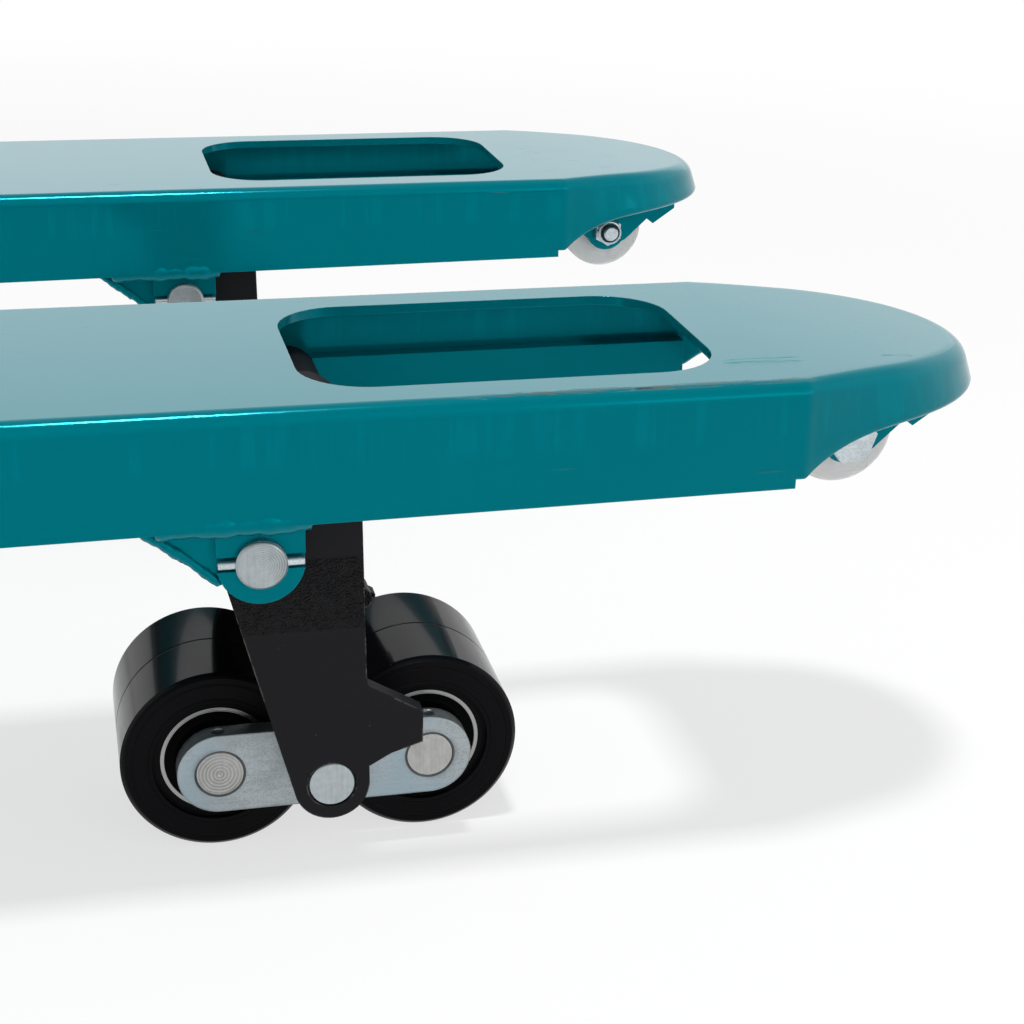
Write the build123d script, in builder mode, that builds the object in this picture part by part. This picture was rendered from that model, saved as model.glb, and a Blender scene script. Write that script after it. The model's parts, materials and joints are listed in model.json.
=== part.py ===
from build123d import *
from math import acos, atan2, cos, hypot, radians, sin, tan
import os

# A hand pallet truck that stands with its forks raised.
# +X runs from the tiller to the fork tips, +Y to the operator's left, +Z up; the floor is Z = 0.

# Forks
fork_length = 1150
fork_width = 160
fork_spacing = 380
lift_stroke = 120
sheet = 4
bend_radius = 6
side_depth = 44
heel_depth = 54
window_length = 170
window_margin = 22.5
window_radius = 29
window_ahead = 20
rail_thickness = 8
rail_height = 18
nose_length = 106
nose_depth = 26
notch_rise = 4
notch_run = 5
rim_run = 50

# Wheel arms and their pivots, seen from the side
pivot_to_tip = 318
pivot_height = 145
pivot_drop = 62
rocker_ahead = 27.4
arm_lever = 40.5
arm_thickness = 8
arm_side_gap = 4.5
arm_play = 1
arm_pivot_boss = 16
arm_rod_boss = 13.5
arm_foot_radius = 15.5
stud_radius = 4.5
stud_length = 9
stud_ahead = 40.5
stud_drop = 25
lug_reach = 65
lug_drop = 62
lug_depth = 36
lug_shoulder = 13
lug_corner = 27
lug_heel = 31
lug_heel_run = 9
pivot_pin_radius = 10
pivot_pin_recess = 1.5
roll_pin_radius = 1.75
roll_pin_length = 33
bracket_thickness = 8
bracket_pad = 2.5
bracket_radius = 17
bracket_tail = 48
bracket_waist = 30
bracket_toe_back = 13
bracket_toe_drop = 10.5
bracket_flare = 4
bracket_groove = 6
running_clearance = 0.05

# Rockers and load rollers
load_roller_radius = 40
axle_spacing = 87.6
axle_radius = 10
rocker_height = 35
rocker_thickness = 9
rocker_gap = 2.2
rocker_boss_radius = 15
rocker_boss_length = 9
rocker_boss_play = 0.3
set_pin_radius = 2.5
set_pin_recess = 0.6
roller_edge = 2
roller_seam = 0.5
roller_step = 2.5
roller_step_radius = 27
roller_bore_shoulder = 18
bearing_radius = 23.5
bearing_width = 14
bearing_inner = 13.5
bearing_seal_depth = 0.6
bearing_ring = 1.6

# Entry rollers in the noses
entry_roller_radius = 24
entry_roller_width = 45
entry_roller_behind_tip = 64
entry_roller_drop = 41
entry_bolt_radius = 5
entry_cheek_play = 1
entry_cheek_thickness = 8
entry_cheek_tail = 18
entry_cheek_reach = 42
entry_cheek_notch = 25
entry_cheek_notch_end = 29
entry_boss_radius = 12
bolt_head_height = 6
bolt_head_radius = 12
nut_height = 9
nut_flat_radius = 8.5
nut_collar_radius = 7.6
nut_collar_height = 3
bolt_end = 3

# Push rods and the lift crank
rod_radius = 10
rod_eye_radius = 17
rod_eye_half = 14
rod_pin_radius = 8
rod_pin_recess = 1.5
rod_slot_play = 1.4
crank_setback = 60
crank_shaft_radius = 16
crank_hub_radius = 26
crank_ear_radius = 15
crank_ear_thickness = 10
crank_ear_gap = 2
crank_lug_offset = 40
crank_lug_thickness = 8
crank_lug_radius = 30
crank_shaft_end = 4
lever_thickness = 10
lever_end_radius = 18
trunnion_radius = 8

# Heel plate and head frame
heel_plate = 10
heel_rise = 60
heel_crown = 170
heel_half = 92
head_plate = 8
head_seat_radius = 50
head_skirt = 45
head_foot_gap = 6
head_nose = 26
head_depth = 55
post_clearance = 8

# Steering wheels, thrust collar and pump
steer_wheel_radius = 90
steer_wheel_width = 50
steer_wheel_inner = 47
steer_hub_radius = 66
steer_web = 22
steer_rim = 6
steer_bearing_radius = 26
steer_bearing_width = 15
steer_axle_radius = 12.5
steer_axle_end = 5
circlip_thickness = 1.5
circlip_width = 4.5
collar_clearance = 4
collar_half = 11
collar_radius = 56
collar_beam = 14
neck_radius = 35
thrust_bearing_height = 6
thrust_bearing_radius = 50
thrust_gap = 0.1
axle_housing_length = 70
axle_housing_height = 66
axle_housing_play = 2
axle_housing_round = 12
shoulder_radius = 52
block_rise = 45
block_height = 60
barrel_radius = 42
barrel_height = 85
piston_radius = 22.5
piston_overlap = 120
gland_radius = 35
gland_height = 10
head_clearance = 5
tank_radius = 62
tank_height = 70
tank_cut = 38
tank_wall = 4
plunger_radius = 12
plunger_cap_radius = 14
plunger_cap = 8
plunger_housing_radius = 28
plunger_bore_depth = 55
plunger_grip = 13
valve_pin_radius = 5
valve_lever_thickness = 8
valve_lever_length = 55
valve_lever_boss = 11
valve_lever_tip = 7

# Tiller, handle and controls
tiller_setback = 95
tiller_rise = 46
tiller_lean = 4
tiller_pin_radius = 10
ear_inner = 30
ear_thickness = 12
ear_radius = 22
yoke_inner = 15
yoke_outer = 28
yoke_boss = 24
yoke_neck = 48
yoke_socket_base = 75
yoke_socket_top = 130
yoke_socket_wall = 6
pressure_arm = 32
pressure_angle = 40
pressure_roller_radius = 15
pressure_roller_half = 12
pressure_pin_radius = 6
pressure_gap = 1
tube_radius = 19
tube_wall = 3
handle_stem_length = 80
handle_stem_radius = 24
loop_base = 735
loop_height = 130
loop_base_half = 66
loop_top_half = 102
loop_corner = 38
loop_bar_radius = 14
lever_hinge_rise = 42
lever_half = 18
lever_pin_radius = 4
lever_boss = 7
lever_tip = 4.5
lever_length = 52
lever_lug = 8
lever_lug_gap = 1
release_rod_radius = 4
release_rod_play = 0.3
release_rod_end = 24

# Places along the truck, worked out from the linkage
fork_top = pivot_height + pivot_drop
roller_height = load_roller_radius
arm_drop = pivot_height - roller_height
arm_length = hypot(rocker_ahead, arm_drop)
arm_swing = acos((arm_drop - lift_stroke) / arm_length) - atan2(rocker_ahead, arm_drop)
rod_travel_half = arm_lever * sin(arm_swing / 2)
rod_height = pivot_height + arm_lever * cos(arm_swing / 2)
collar_height = 2 * steer_wheel_radius + collar_clearance + collar_half
crank_height = collar_height + lift_stroke / 2
crank_drop = crank_height - rod_height
crank_radius = hypot(rod_travel_half, crank_drop)
crank_half_swing = atan2(rod_travel_half, crank_drop)
lever_reach = lift_stroke / 2 / tan(crank_half_swing)
pressure_back = pressure_arm * cos(radians(pressure_angle / 2))
plunger_setback = tiller_setback + pressure_back
rear_reach = plunger_setback + plunger_housing_radius
overall_length = fork_length + crank_setback + lever_reach + rear_reach
tip_x = overall_length / 2
heel_x = tip_x - fork_length
weld_x = tip_x - nose_length
pivot_x = tip_x - pivot_to_tip
rocker_x = pivot_x + rocker_ahead
arm_rod_x = pivot_x + rod_travel_half
crank_x = heel_x - crank_setback
crank_rod_x = crank_x + rod_travel_half
steer_x = crank_x - lever_reach
plunger_x = steer_x - plunger_setback
tiller_x = steer_x - tiller_setback
entry_x = tip_x - entry_roller_behind_tip
entry_z = fork_top - entry_roller_drop
side_bottom = fork_top - side_depth

# Places across one fork, from its centre outwards
rail_inner = fork_width / 2 - sheet - rail_thickness
arm_outer = rail_inner - arm_side_gap
arm_inner = arm_outer - arm_thickness
rocker_outer = arm_inner - rocker_boss_play - rocker_boss_length
rocker_inner = rocker_outer - rocker_thickness
roller_half = rocker_inner - rocker_gap
bracket_inner = arm_outer + arm_play
bracket_outer = bracket_inner + bracket_thickness
pad_outer = bracket_outer + bracket_pad
pivot_pin_half = fork_width / 2 - pivot_pin_recess
cheek_inner = entry_roller_width / 2 + entry_cheek_play
cheek_outer = cheek_inner + entry_cheek_thickness
ear_half = rod_eye_half + crank_ear_gap

# Places across the pump and up its height
steer_wheel_outer = steer_wheel_inner + steer_wheel_width
steer_sweep = hypot(steer_wheel_radius, steer_wheel_outer)
lever_inner = steer_wheel_outer + lever_end_radius
lever_outer = lever_inner + lever_thickness
shoulder_z = collar_height + collar_half + thrust_bearing_height + thrust_gap
block_base = collar_height + block_rise
block_top = block_base + block_height
barrel_top = block_top + barrel_height
head_seat = barrel_top + gland_height + head_clearance + lift_stroke
post_x = steer_x + steer_sweep + post_clearance
head_front = heel_x - heel_plate
tiller_z = block_top + tiller_rise
valve_seat = ear_inner + ear_thickness + arm_play
pressure_z = tiller_z + pressure_arm * sin(radians(pressure_angle))
plunger_top = pressure_z - pressure_roller_radius - pressure_gap
hinge_z = tiller_z + loop_base + lever_hinge_rise
stem_base = tiller_z + loop_base - handle_stem_length

sides = {"left": 1, "right": -1}
both_faces = (1, -1)


def side_plane(y):
    """The plane of the truck's side view at a place across the truck: sketch x is X, sketch y is Z."""
    return Plane.XZ.offset(-y)


def fork_centre(side):
    return side * fork_spacing / 2


def save(piece, name):
    piece.label = name
    export_step(piece, f"parts/{name}.step")


def lean(piece):
    """Turn an upright tiller piece about the tiller's hinge to the place where it stands."""
    return piece.rotate(Axis((tiller_x, 0, tiller_z), (0, 1, 0)), tiller_lean)


def cross_bar(x, z, y_from, y_to, radius, mode=Mode.ADD):
    """A round bar across the truck between two places of y."""
    with Locations((x, (y_from + y_to) / 2, z)):
        Cylinder(radius, abs(y_to - y_from), rotation=(90, 0, 0), mode=mode)


def upright(x, y, z_from, z_to, radius, mode=Mode.ADD):
    """A round bar that stands upright between two heights."""
    with Locations((x, y, (z_from + z_to) / 2)):
        Cylinder(radius, z_to - z_from, mode=mode)


def make_fork(side, name):
    """Channel of bent sheet, deeper towards the heel, with a rounded window in its top."""
    centre = fork_centre(side)
    with BuildPart() as fork:
        with BuildSketch(side_plane(centre)):
            with BuildLine():
                Polyline((heel_x, fork_top), (weld_x, fork_top), (weld_x, side_bottom),
                         (heel_x, fork_top - heel_depth), close=True)
            make_face()
        extrude(amount=fork_width / 2, both=True)
        fillet(fork.edges().filter_by(Axis.X).group_by(Axis.Z)[-1], bend_radius)
        with BuildSketch(Plane.YZ.offset(heel_x)) as hollow:
            with Locations((centre, fork_top - sheet - heel_depth / 2)):
                Rectangle(fork_width - 2 * sheet, heel_depth)
            fillet(hollow.vertices().group_by(Axis.Y)[-1], bend_radius - sheet)
        extrude(amount=fork_length, mode=Mode.SUBTRACT)
        with BuildSketch(Plane.XY.offset(fork_top)):
            with Locations((pivot_x + window_ahead + window_length / 2, centre)):
                RectangleRounded(window_length, fork_width - 2 * window_margin, window_radius)
        extrude(amount=-2 * sheet, mode=Mode.SUBTRACT)
    save(fork.part, name)


def nose_outline(centre, inset):
    """Half ellipse in front of the weld, drawn in by the inset."""
    with BuildLine() as outline:
        front = EllipticalCenterArc((weld_x, centre), nose_length - inset, fork_width / 2 - inset,
                                    start_angle=-90, arc_size=180)
        Line(front @ 1, front @ 0)
    make_face(outline.edges())


def make_nose(side, name):
    """Pressed shell that closes the fork's front, its rim sweeping up from the channel's corner."""
    centre = fork_centre(side)
    low = side_bottom + notch_rise
    rim = fork_top - nose_depth
    with BuildPart() as nose:
        with BuildSketch(Plane.XY.offset(low)):
            nose_outline(centre, 0)
        extrude(amount=fork_top - low)
        fillet(nose.edges().group_by(Axis.Z)[-1].filter_by(GeomType.LINE, reverse=True), bend_radius)
        with BuildSketch(Plane.XY.offset(low)):
            nose_outline(centre, sheet)
        extrude(amount=fork_top - sheet - low, mode=Mode.SUBTRACT)
        with BuildSketch(side_plane(centre)):
            with BuildLine():
                Bezier((weld_x + notch_run, low), (weld_x + rim_run / 4, low + (rim - low) / 2),
                       (weld_x + rim_run / 2, rim), (weld_x + rim_run, rim))
                Polyline((weld_x + rim_run, rim), (tip_x + sheet, rim), (tip_x + sheet, low - sheet),
                         (weld_x + notch_run, low - sheet), (weld_x + notch_run, low))
            make_face()
        extrude(amount=fork_width, both=True, mode=Mode.SUBTRACT)
    save(nose.part, name)


def make_fork_rails():
    """Flat bars inside the lower edges of all four side walls."""
    with BuildPart() as rails:
        for side in sides.values():
            for face in both_faces:
                across = fork_centre(side) + face * (rail_inner + rail_thickness / 2)
                with Locations(((heel_x + weld_x) / 2, across, side_bottom + rail_height / 2)):
                    Box(weld_x - heel_x, rail_thickness, rail_height)
    save(rails.part, "fork_rails")


def make_pivot_brackets():
    """Plates under the rails that hold the arm pivot pins, with a padded, grooved outer face."""
    front = pivot_x + bracket_radius
    rear = pivot_x - bracket_radius
    with BuildPart() as brackets:
        for side in sides.values():
            for face in both_faces:
                middle = fork_centre(side) + face * (bracket_inner + bracket_thickness / 2)
                with BuildSketch(side_plane(middle)):
                    with BuildLine():
                        Polyline((pivot_x - bracket_tail, side_bottom),
                                 (pivot_x - bracket_waist, pivot_height + bracket_flare),
                                 (pivot_x - bracket_toe_back, pivot_height - bracket_toe_drop),
                                 (pivot_x, pivot_height), (front, pivot_height),
                                 (front, side_bottom - bracket_flare),
                                 (front + bracket_flare, side_bottom), close=True)
                    make_face()
                    with Locations((pivot_x, pivot_height)):
                        Circle(bracket_radius)
                extrude(amount=bracket_thickness / 2, both=True)
                pad = fork_centre(side) + face * (bracket_outer + bracket_pad / 2)
                with BuildSketch(side_plane(pad)):
                    with BuildLine():
                        Polyline((rear, side_bottom), (rear, pivot_height), (front, pivot_height),
                                 (front, side_bottom), close=True)
                    make_face()
                    with Locations((pivot_x, pivot_height)):
                        Circle(bracket_radius)
                    with Locations((pivot_x, pivot_height)):
                        Rectangle(3 * bracket_radius, bracket_groove, mode=Mode.SUBTRACT)
                extrude(amount=bracket_pad / 2, both=True)
                cross_bar(pivot_x, pivot_height, middle - bracket_thickness, middle + bracket_thickness,
                          pivot_pin_radius, Mode.SUBTRACT)
    save(brackets.part, "pivot_brackets")


def roll_pin_bars(radius, length, mode=Mode.ADD):
    """Round bars that lie along the truck through both ends of both arm pivot pins."""
    for side in sides.values():
        for face in both_faces:
            with Locations((pivot_x, fork_centre(side) + face * pad_outer, pivot_height)):
                Cylinder(radius, length, rotation=(0, 90, 0), mode=mode)


def make_arm_pivot_pins():
    with BuildPart() as pins:
        for side in sides.values():
            centre = fork_centre(side)
            cross_bar(pivot_x, pivot_height, centre - pivot_pin_half, centre + pivot_pin_half,
                      pivot_pin_radius)
        chamfer(pins.edges().filter_by(GeomType.CIRCLE), pivot_pin_radius / 10)
        roll_pin_bars(roll_pin_radius, roll_pin_length, Mode.SUBTRACT)
    save(pins.part, "arm_pivot_pins")


def make_pivot_roll_pins():
    """Rolled sheet pins: each is a small tube."""
    with BuildPart() as pins:
        roll_pin_bars(roll_pin_radius, roll_pin_length)
        roll_pin_bars(roll_pin_radius / 2, roll_pin_length, Mode.SUBTRACT)
    save(pins.part, "pivot_roll_pins")


def make_entry_roller_cheeks():
    """Plates that hang from the nose's top on both sides of each entry roller."""
    roof = fork_top - sheet
    rise = entry_boss_radius / 2
    with BuildPart() as cheeks:
        for side in sides.values():
            for face in both_faces:
                middle = fork_centre(side) + face * (cheek_inner + entry_cheek_thickness / 2)
                with BuildSketch(side_plane(middle)):
                    with BuildLine():
                        Polyline((entry_x - entry_cheek_tail, roof), (entry_x - entry_cheek_tail, entry_z),
                                 (entry_x, entry_z - entry_boss_radius),
                                 (entry_x + entry_boss_radius, entry_z - rise),
                                 (entry_x + entry_cheek_notch, entry_z + rise),
                                 (entry_x + entry_cheek_notch_end, entry_z + rise / 2),
                                 (entry_x + entry_cheek_reach, entry_z + 2 * rise),
                                 (entry_x + entry_cheek_reach, roof), close=True)
                    make_face()
                    with Locations((entry_x, entry_z)):
                        Circle(entry_boss_radius)
                extrude(amount=entry_cheek_thickness / 2, both=True)
                cross_bar(entry_x, entry_z, middle - entry_cheek_thickness, middle + entry_cheek_thickness,
                          entry_bolt_radius, Mode.SUBTRACT)
    save(cheeks.part, "entry_roller_cheeks")


def make_entry_roller_bolts():
    """Bolts with domed heads on the forks' outer sides."""
    with BuildPart() as bolts:
        for side in sides.values():
            centre = fork_centre(side)
            head = centre + side * cheek_outer
            tail = centre - side * (cheek_outer + nut_height + bolt_end)
            cross_bar(entry_x, entry_z, head, tail, entry_bolt_radius)
            cross_bar(entry_x, entry_z, head, head + side * bolt_head_height, bolt_head_radius)
        outer_rims = bolts.edges().filter_by(GeomType.CIRCLE).group_by(SortBy.RADIUS)[-1].group_by(Axis.Y)
        fillet(outer_rims[0] + outer_rims[-1], 0.8 * bolt_head_height)
    save(bolts.part, "entry_roller_bolts")


def make_entry_roller_nuts():
    """Lock nuts with a round collar, on the forks' inner sides."""
    with BuildPart() as nuts:
        for side in sides.values():
            seat = fork_centre(side) - side * cheek_outer
            with BuildSketch(side_plane(seat)):
                with Locations((entry_x, entry_z)):
                    RegularPolygon(nut_flat_radius, 6, major_radius=False)
            extrude(amount=side * (nut_height - nut_collar_height))
            top = seat - side * nut_height
            cross_bar(entry_x, entry_z, seat, top, nut_collar_radius)
            cross_bar(entry_x, entry_z, seat, top, entry_bolt_radius, Mode.SUBTRACT)
    save(nuts.part, "entry_roller_nuts")


def make_entry_roller(side, name):
    centre = fork_centre(side)
    half = entry_roller_width / 2
    with BuildPart() as roller:
        cross_bar(entry_x, entry_z, centre - half, centre + half, entry_roller_radius)
        fillet(roller.edges().filter_by(GeomType.CIRCLE), roller_edge)
        cross_bar(entry_x, entry_z, centre - half, centre + half, entry_bolt_radius + running_clearance,
                  Mode.SUBTRACT)
    save(roller.part, name)


def arm_plate_outline():
    """Bosses at the pivot, the rod pin and the rocker pin in one hull, with a stop lug in front."""
    with Locations((pivot_x, pivot_height)):
        Circle(arm_pivot_boss)
    with Locations((arm_rod_x, rod_height)):
        Circle(arm_rod_boss)
    with Locations((rocker_x, roller_height)):
        Circle(arm_foot_radius)
    make_hull()


def stop_lug_outline():
    top = pivot_height - lug_drop
    root = rocker_x + arm_foot_radius
    end = pivot_x + lug_reach
    with BuildLine() as outline:
        Polyline((rocker_x, top), (root, top), (end, top - lug_shoulder), (end, top - lug_corner),
                 (root + lug_heel_run, top - lug_heel), (root, top - lug_depth),
                 (rocker_x, top - lug_depth), close=True)
    make_face(outline.edges())


def make_wheel_arm(side, name):
    """Two plates joined by a tube on the pivot and two sleeves on the rod pin, with stop studs."""
    centre = fork_centre(side)
    plate = arm_inner + arm_thickness / 2
    with BuildPart() as arm:
        for face in both_faces:
            with BuildSketch(side_plane(centre + face * plate)):
                arm_plate_outline()
            extrude(amount=arm_thickness / 2, both=True)
            with BuildSketch(side_plane(centre + face * plate)):
                stop_lug_outline()
            extrude(amount=arm_thickness / 2, both=True)
            sleeve = centre + face * (rod_eye_half + crank_ear_gap / 2)
            cross_bar(arm_rod_x, rod_height, sleeve, centre + face * plate, arm_rod_boss)
            cross_bar(pivot_x + stud_ahead, pivot_height - stud_drop,
                      centre + face * (arm_inner - stud_length), centre + face * plate, stud_radius)
        cross_bar(pivot_x, pivot_height, centre - plate, centre + plate, arm_pivot_boss)
        bores = ((pivot_x, pivot_height, pivot_pin_radius + running_clearance),
                 (arm_rod_x, rod_height, rod_pin_radius),
                 (rocker_x, roller_height, axle_radius + running_clearance))
        for x, z, radius in bores:
            cross_bar(x, z, centre - arm_outer, centre + arm_outer, radius, Mode.SUBTRACT)
    save(arm.part, name)


def make_rod_pin(side, name):
    centre = fork_centre(side)
    half = arm_outer - rod_pin_recess
    with BuildPart() as pin:
        cross_bar(arm_rod_x, rod_height, centre - half, centre + half, rod_pin_radius)
        chamfer(pin.edges().filter_by(GeomType.CIRCLE), rod_pin_radius / 8)
    save(pin.part, name)


def make_rocker_pins(side, name):
    """Two stub pins, each through one arm plate and one rocker plate, clear of the rollers between."""
    centre = fork_centre(side)
    with BuildPart() as pins:
        for face in both_faces:
            cross_bar(rocker_x, roller_height, centre + face * rocker_inner, centre + face * arm_outer,
                      axle_radius)
        chamfer(pins.edges().filter_by(GeomType.CIRCLE), axle_radius / 10)
    save(pins.part, name)


def axle_places():
    return (rocker_x - axle_spacing / 2, rocker_x + axle_spacing / 2)


def set_pin_bars(centre, z_to, mode=Mode.ADD):
    for x in axle_places():
        for face in both_faces:
            across = centre + face * (rocker_inner + rocker_thickness / 2)
            upright(x, across, roller_height + axle_radius, z_to, set_pin_radius, mode)


def make_rocker_plates(side, name):
    """Long plates with round ends that carry two axles, each with a spacer boss on the rocker pin."""
    centre = fork_centre(side)
    with BuildPart() as plates:
        for face in both_faces:
            middle = centre + face * (rocker_inner + rocker_thickness / 2)
            with BuildSketch(side_plane(middle)):
                with Locations((rocker_x, roller_height)):
                    SlotCenterToCenter(axle_spacing, rocker_height)
            extrude(amount=rocker_thickness / 2, both=True)
            cross_bar(rocker_x, roller_height, middle, centre + face * (rocker_outer + rocker_boss_length),
                      rocker_boss_radius)
        cross_bar(rocker_x, roller_height, centre - arm_inner, centre + arm_inner,
                  axle_radius + running_clearance, Mode.SUBTRACT)
        for x in axle_places():
            cross_bar(x, roller_height, centre - arm_inner, centre + arm_inner, axle_radius, Mode.SUBTRACT)
        set_pin_bars(centre, roller_height + rocker_height / 2, Mode.SUBTRACT)
    save(plates.part, name)


def make_wheel_axles(side, name):
    centre = fork_centre(side)
    with BuildPart() as axles:
        for x in axle_places():
            cross_bar(x, roller_height, centre - rocker_outer, centre + rocker_outer, axle_radius)
        chamfer(axles.edges().filter_by(GeomType.CIRCLE), axle_radius / 20)
    save(axles.part, name)


def make_axle_set_pins(side, name):
    with BuildPart() as pins:
        set_pin_bars(fork_centre(side), roller_height + rocker_height / 2 - set_pin_recess)
    save(pins.part, name)


def spun(x, y, z, outline):
    """Spin an outline of (radius, place across) points about a cross axis."""
    with BuildSketch(Plane((x, y, z), x_dir=(1, 0, 0), z_dir=(0, 0, 1))) as section:
        with BuildLine():
            Polyline(*outline, close=True)
        make_face()
    revolve(section.sketch, axis=Axis((x, y, z), (0, 1, 0)))


def make_load_roller(side, x, name):
    """Roller with bevelled rims, a seam round its middle and a stepped seat for each bearing."""
    half = roller_half
    seat = half - roller_step
    inner = seat - bearing_width
    outline = ((roller_bore_shoulder, inner), (bearing_radius, inner), (bearing_radius, seat),
               (roller_step_radius, seat), (roller_step_radius, half),
               (load_roller_radius - roller_edge, half), (load_roller_radius, half - roller_edge),
               (load_roller_radius, roller_seam), (load_roller_radius - roller_seam, 0))
    mirrored = tuple((radius, -across) for radius, across in reversed(outline[:-1]))
    with BuildPart() as roller:
        spun(x, fork_centre(side), roller_height, outline + mirrored)
    save(roller.part, name)


def bearing_outline(inner, seat, bore, outer, width, direction):
    """Section of a sealed ball bearing: two rings with a seal set back between them."""
    outer_face = direction * seat
    inner_face = direction * (seat - width)
    seal = direction * (seat - bearing_seal_depth)
    return ((bore, inner_face), (outer, inner_face), (outer, outer_face), (outer - bearing_ring, outer_face),
            (outer - bearing_ring, seal), (inner, seal), (inner, outer_face), (bore, outer_face))


def make_load_bearings(side, x, name):
    with BuildPart() as bearings:
        for face in both_faces:
            spun(x, fork_centre(side), roller_height,
                 bearing_outline(bearing_inner, roller_half - roller_step, axle_radius + running_clearance,
                                 bearing_radius, bearing_width, face))
    save(bearings.part, name)


def make_push_rod(side, name):
    """Round rod with an eye on the arm's rod pin and an upright slot round the crank's pin."""
    centre = fork_centre(side)
    crank_pin_dip = crank_radius - crank_drop + arm_lever * (1 - cos(arm_swing / 2))
    slot_width = 2 * (rod_pin_radius + rod_slot_play)
    with BuildPart() as rod:
        with BuildSketch(side_plane(centre)):
            with Locations((arm_rod_x, rod_height)):
                Circle(rod_eye_radius)
            with Locations((crank_rod_x, rod_height - crank_pin_dip / 2)):
                SlotCenterToCenter(crank_pin_dip, 2 * rod_eye_radius, rotation=90)
        extrude(amount=rod_eye_half, both=True)
        with Locations(((arm_rod_x + crank_rod_x) / 2, centre, rod_height)):
            Cylinder(rod_radius, arm_rod_x - crank_rod_x, rotation=(0, 90, 0))
        with BuildSketch(side_plane(centre)):
            with Locations((arm_rod_x, rod_height)):
                Circle(rod_pin_radius + running_clearance)
            with Locations((crank_rod_x, rod_height - crank_pin_dip / 2)):
                SlotCenterToCenter(crank_pin_dip, slot_width, rotation=90)
        extrude(amount=rod_eye_half, both=True, mode=Mode.SUBTRACT)
    save(rod.part, name)


def lever_point(reach):
    """A place along the lift crank's rear lever, which dips towards the trunnion."""
    return (crank_x - reach * cos(crank_half_swing), crank_height - reach * sin(crank_half_swing))


def make_lift_crank():
    """Cross shaft with two ears and a pin over each fork and a slotted lever to each trunnion."""
    shaft_half = fork_spacing / 2 + crank_lug_offset + crank_lug_thickness / 2 + crank_shaft_end
    near, far = lever_reach, lever_reach / cos(crank_half_swing)
    slot_radius = trunnion_radius + rod_slot_play
    with BuildPart() as crank:
        cross_bar(crank_x, crank_height, -shaft_half, shaft_half, crank_shaft_radius)
        for side in sides.values():
            centre = fork_centre(side)
            for face in both_faces:
                with BuildSketch(side_plane(centre + face * (ear_half + crank_ear_thickness / 2))):
                    with Locations((crank_x, crank_height)):
                        Circle(crank_hub_radius)
                    with Locations((crank_rod_x, rod_height)):
                        Circle(crank_ear_radius)
                    make_hull()
                extrude(amount=crank_ear_thickness / 2, both=True)
            pin_half = ear_half + crank_ear_thickness
            cross_bar(crank_rod_x, rod_height, centre - pin_half, centre + pin_half, rod_pin_radius)
            lever = side_plane(side * (lever_inner + lever_thickness / 2))
            with BuildSketch(lever):
                with Locations((crank_x, crank_height)):
                    Circle(crank_hub_radius)
                with Locations(lever_point(far)):
                    Circle(lever_end_radius)
                make_hull()
            extrude(amount=lever_thickness / 2, both=True)
            with BuildSketch(lever):
                with Locations(lever_point(near), lever_point(far)):
                    Circle(slot_radius)
                make_hull()
            extrude(amount=lever_thickness, both=True, mode=Mode.SUBTRACT)
    save(crank.part, "lift_crank")


def make_thrust_collar():
    """Ring round the pump's neck on a cross beam that ends in two trunnions."""
    with BuildPart() as collar:
        with Locations((steer_x, 0, collar_height)):
            Box(2 * collar_beam, 2 * (lever_inner - arm_play), 2 * collar_half)
        fillet(collar.edges().filter_by(Axis.Y), collar_half / 3)
        upright(steer_x, 0, collar_height - collar_half, collar_height + collar_half, collar_radius)
        cross_bar(steer_x, collar_height, -lever_outer - arm_play, lever_outer + arm_play, trunnion_radius)
        upright(steer_x, 0, collar_height - collar_half, collar_height + collar_half,
                neck_radius + running_clearance, Mode.SUBTRACT)
    save(collar.part, "thrust_collar")


def make_thrust_bearing():
    """Two washers with a grooved rim between them."""
    base = collar_height + collar_half
    top = base + thrust_bearing_height
    groove = thrust_bearing_height / 3
    with BuildPart() as bearing:
        upright(steer_x, 0, base, top, thrust_bearing_radius)
        upright(steer_x, 0, base + groove, top - groove, thrust_bearing_radius, Mode.SUBTRACT)
        upright(steer_x, 0, base, top, thrust_bearing_radius - bearing_ring)
        upright(steer_x, 0, base, top, neck_radius + running_clearance, Mode.SUBTRACT)
    save(bearing.part, "thrust_bearing")


def make_heel_plate():
    """Upright plate across the fork heels, with holes for the push rods and lugs for the lift crank."""
    foot = fork_top - heel_depth
    half = (fork_spacing + fork_width) / 2
    crown = crank_height + heel_crown
    shoulder = fork_top + heel_rise
    lug_top = crank_height + crank_lug_radius
    rod_lift = arm_lever * (1 - cos(arm_swing / 2))
    rod_middle = rod_height + rod_lift / 2
    with BuildPart() as plate:
        with BuildSketch(Plane.YZ.offset(head_front)):
            with BuildLine():
                Polyline((-half, foot), (half, foot), (half, shoulder), (heel_half, crown),
                         (-heel_half, crown), (-half, shoulder), close=True)
            make_face()
            with Locations((-fork_spacing / 2, rod_middle), (fork_spacing / 2, rod_middle)):
                SlotCenterToCenter(rod_lift, 3 * rod_radius, rotation=90, mode=Mode.SUBTRACT)
        extrude(amount=heel_plate)
        for side in sides.values():
            for face in both_faces:
                middle = fork_centre(side) + face * crank_lug_offset
                with BuildSketch(side_plane(middle)):
                    with BuildLine():
                        Polyline((head_front, crank_height - 2 * crank_lug_radius),
                                 (crank_x, crank_height - crank_lug_radius), (crank_x, lug_top),
                                 (head_front, lug_top), close=True)
                    make_face()
                    with Locations((crank_x, crank_height)):
                        Circle(crank_lug_radius)
                extrude(amount=crank_lug_thickness / 2, both=True)
        cross_bar(crank_x, crank_height, -half, half, crank_shaft_radius + running_clearance, Mode.SUBTRACT)
    save(plate.part, "heel_plate")


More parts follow.
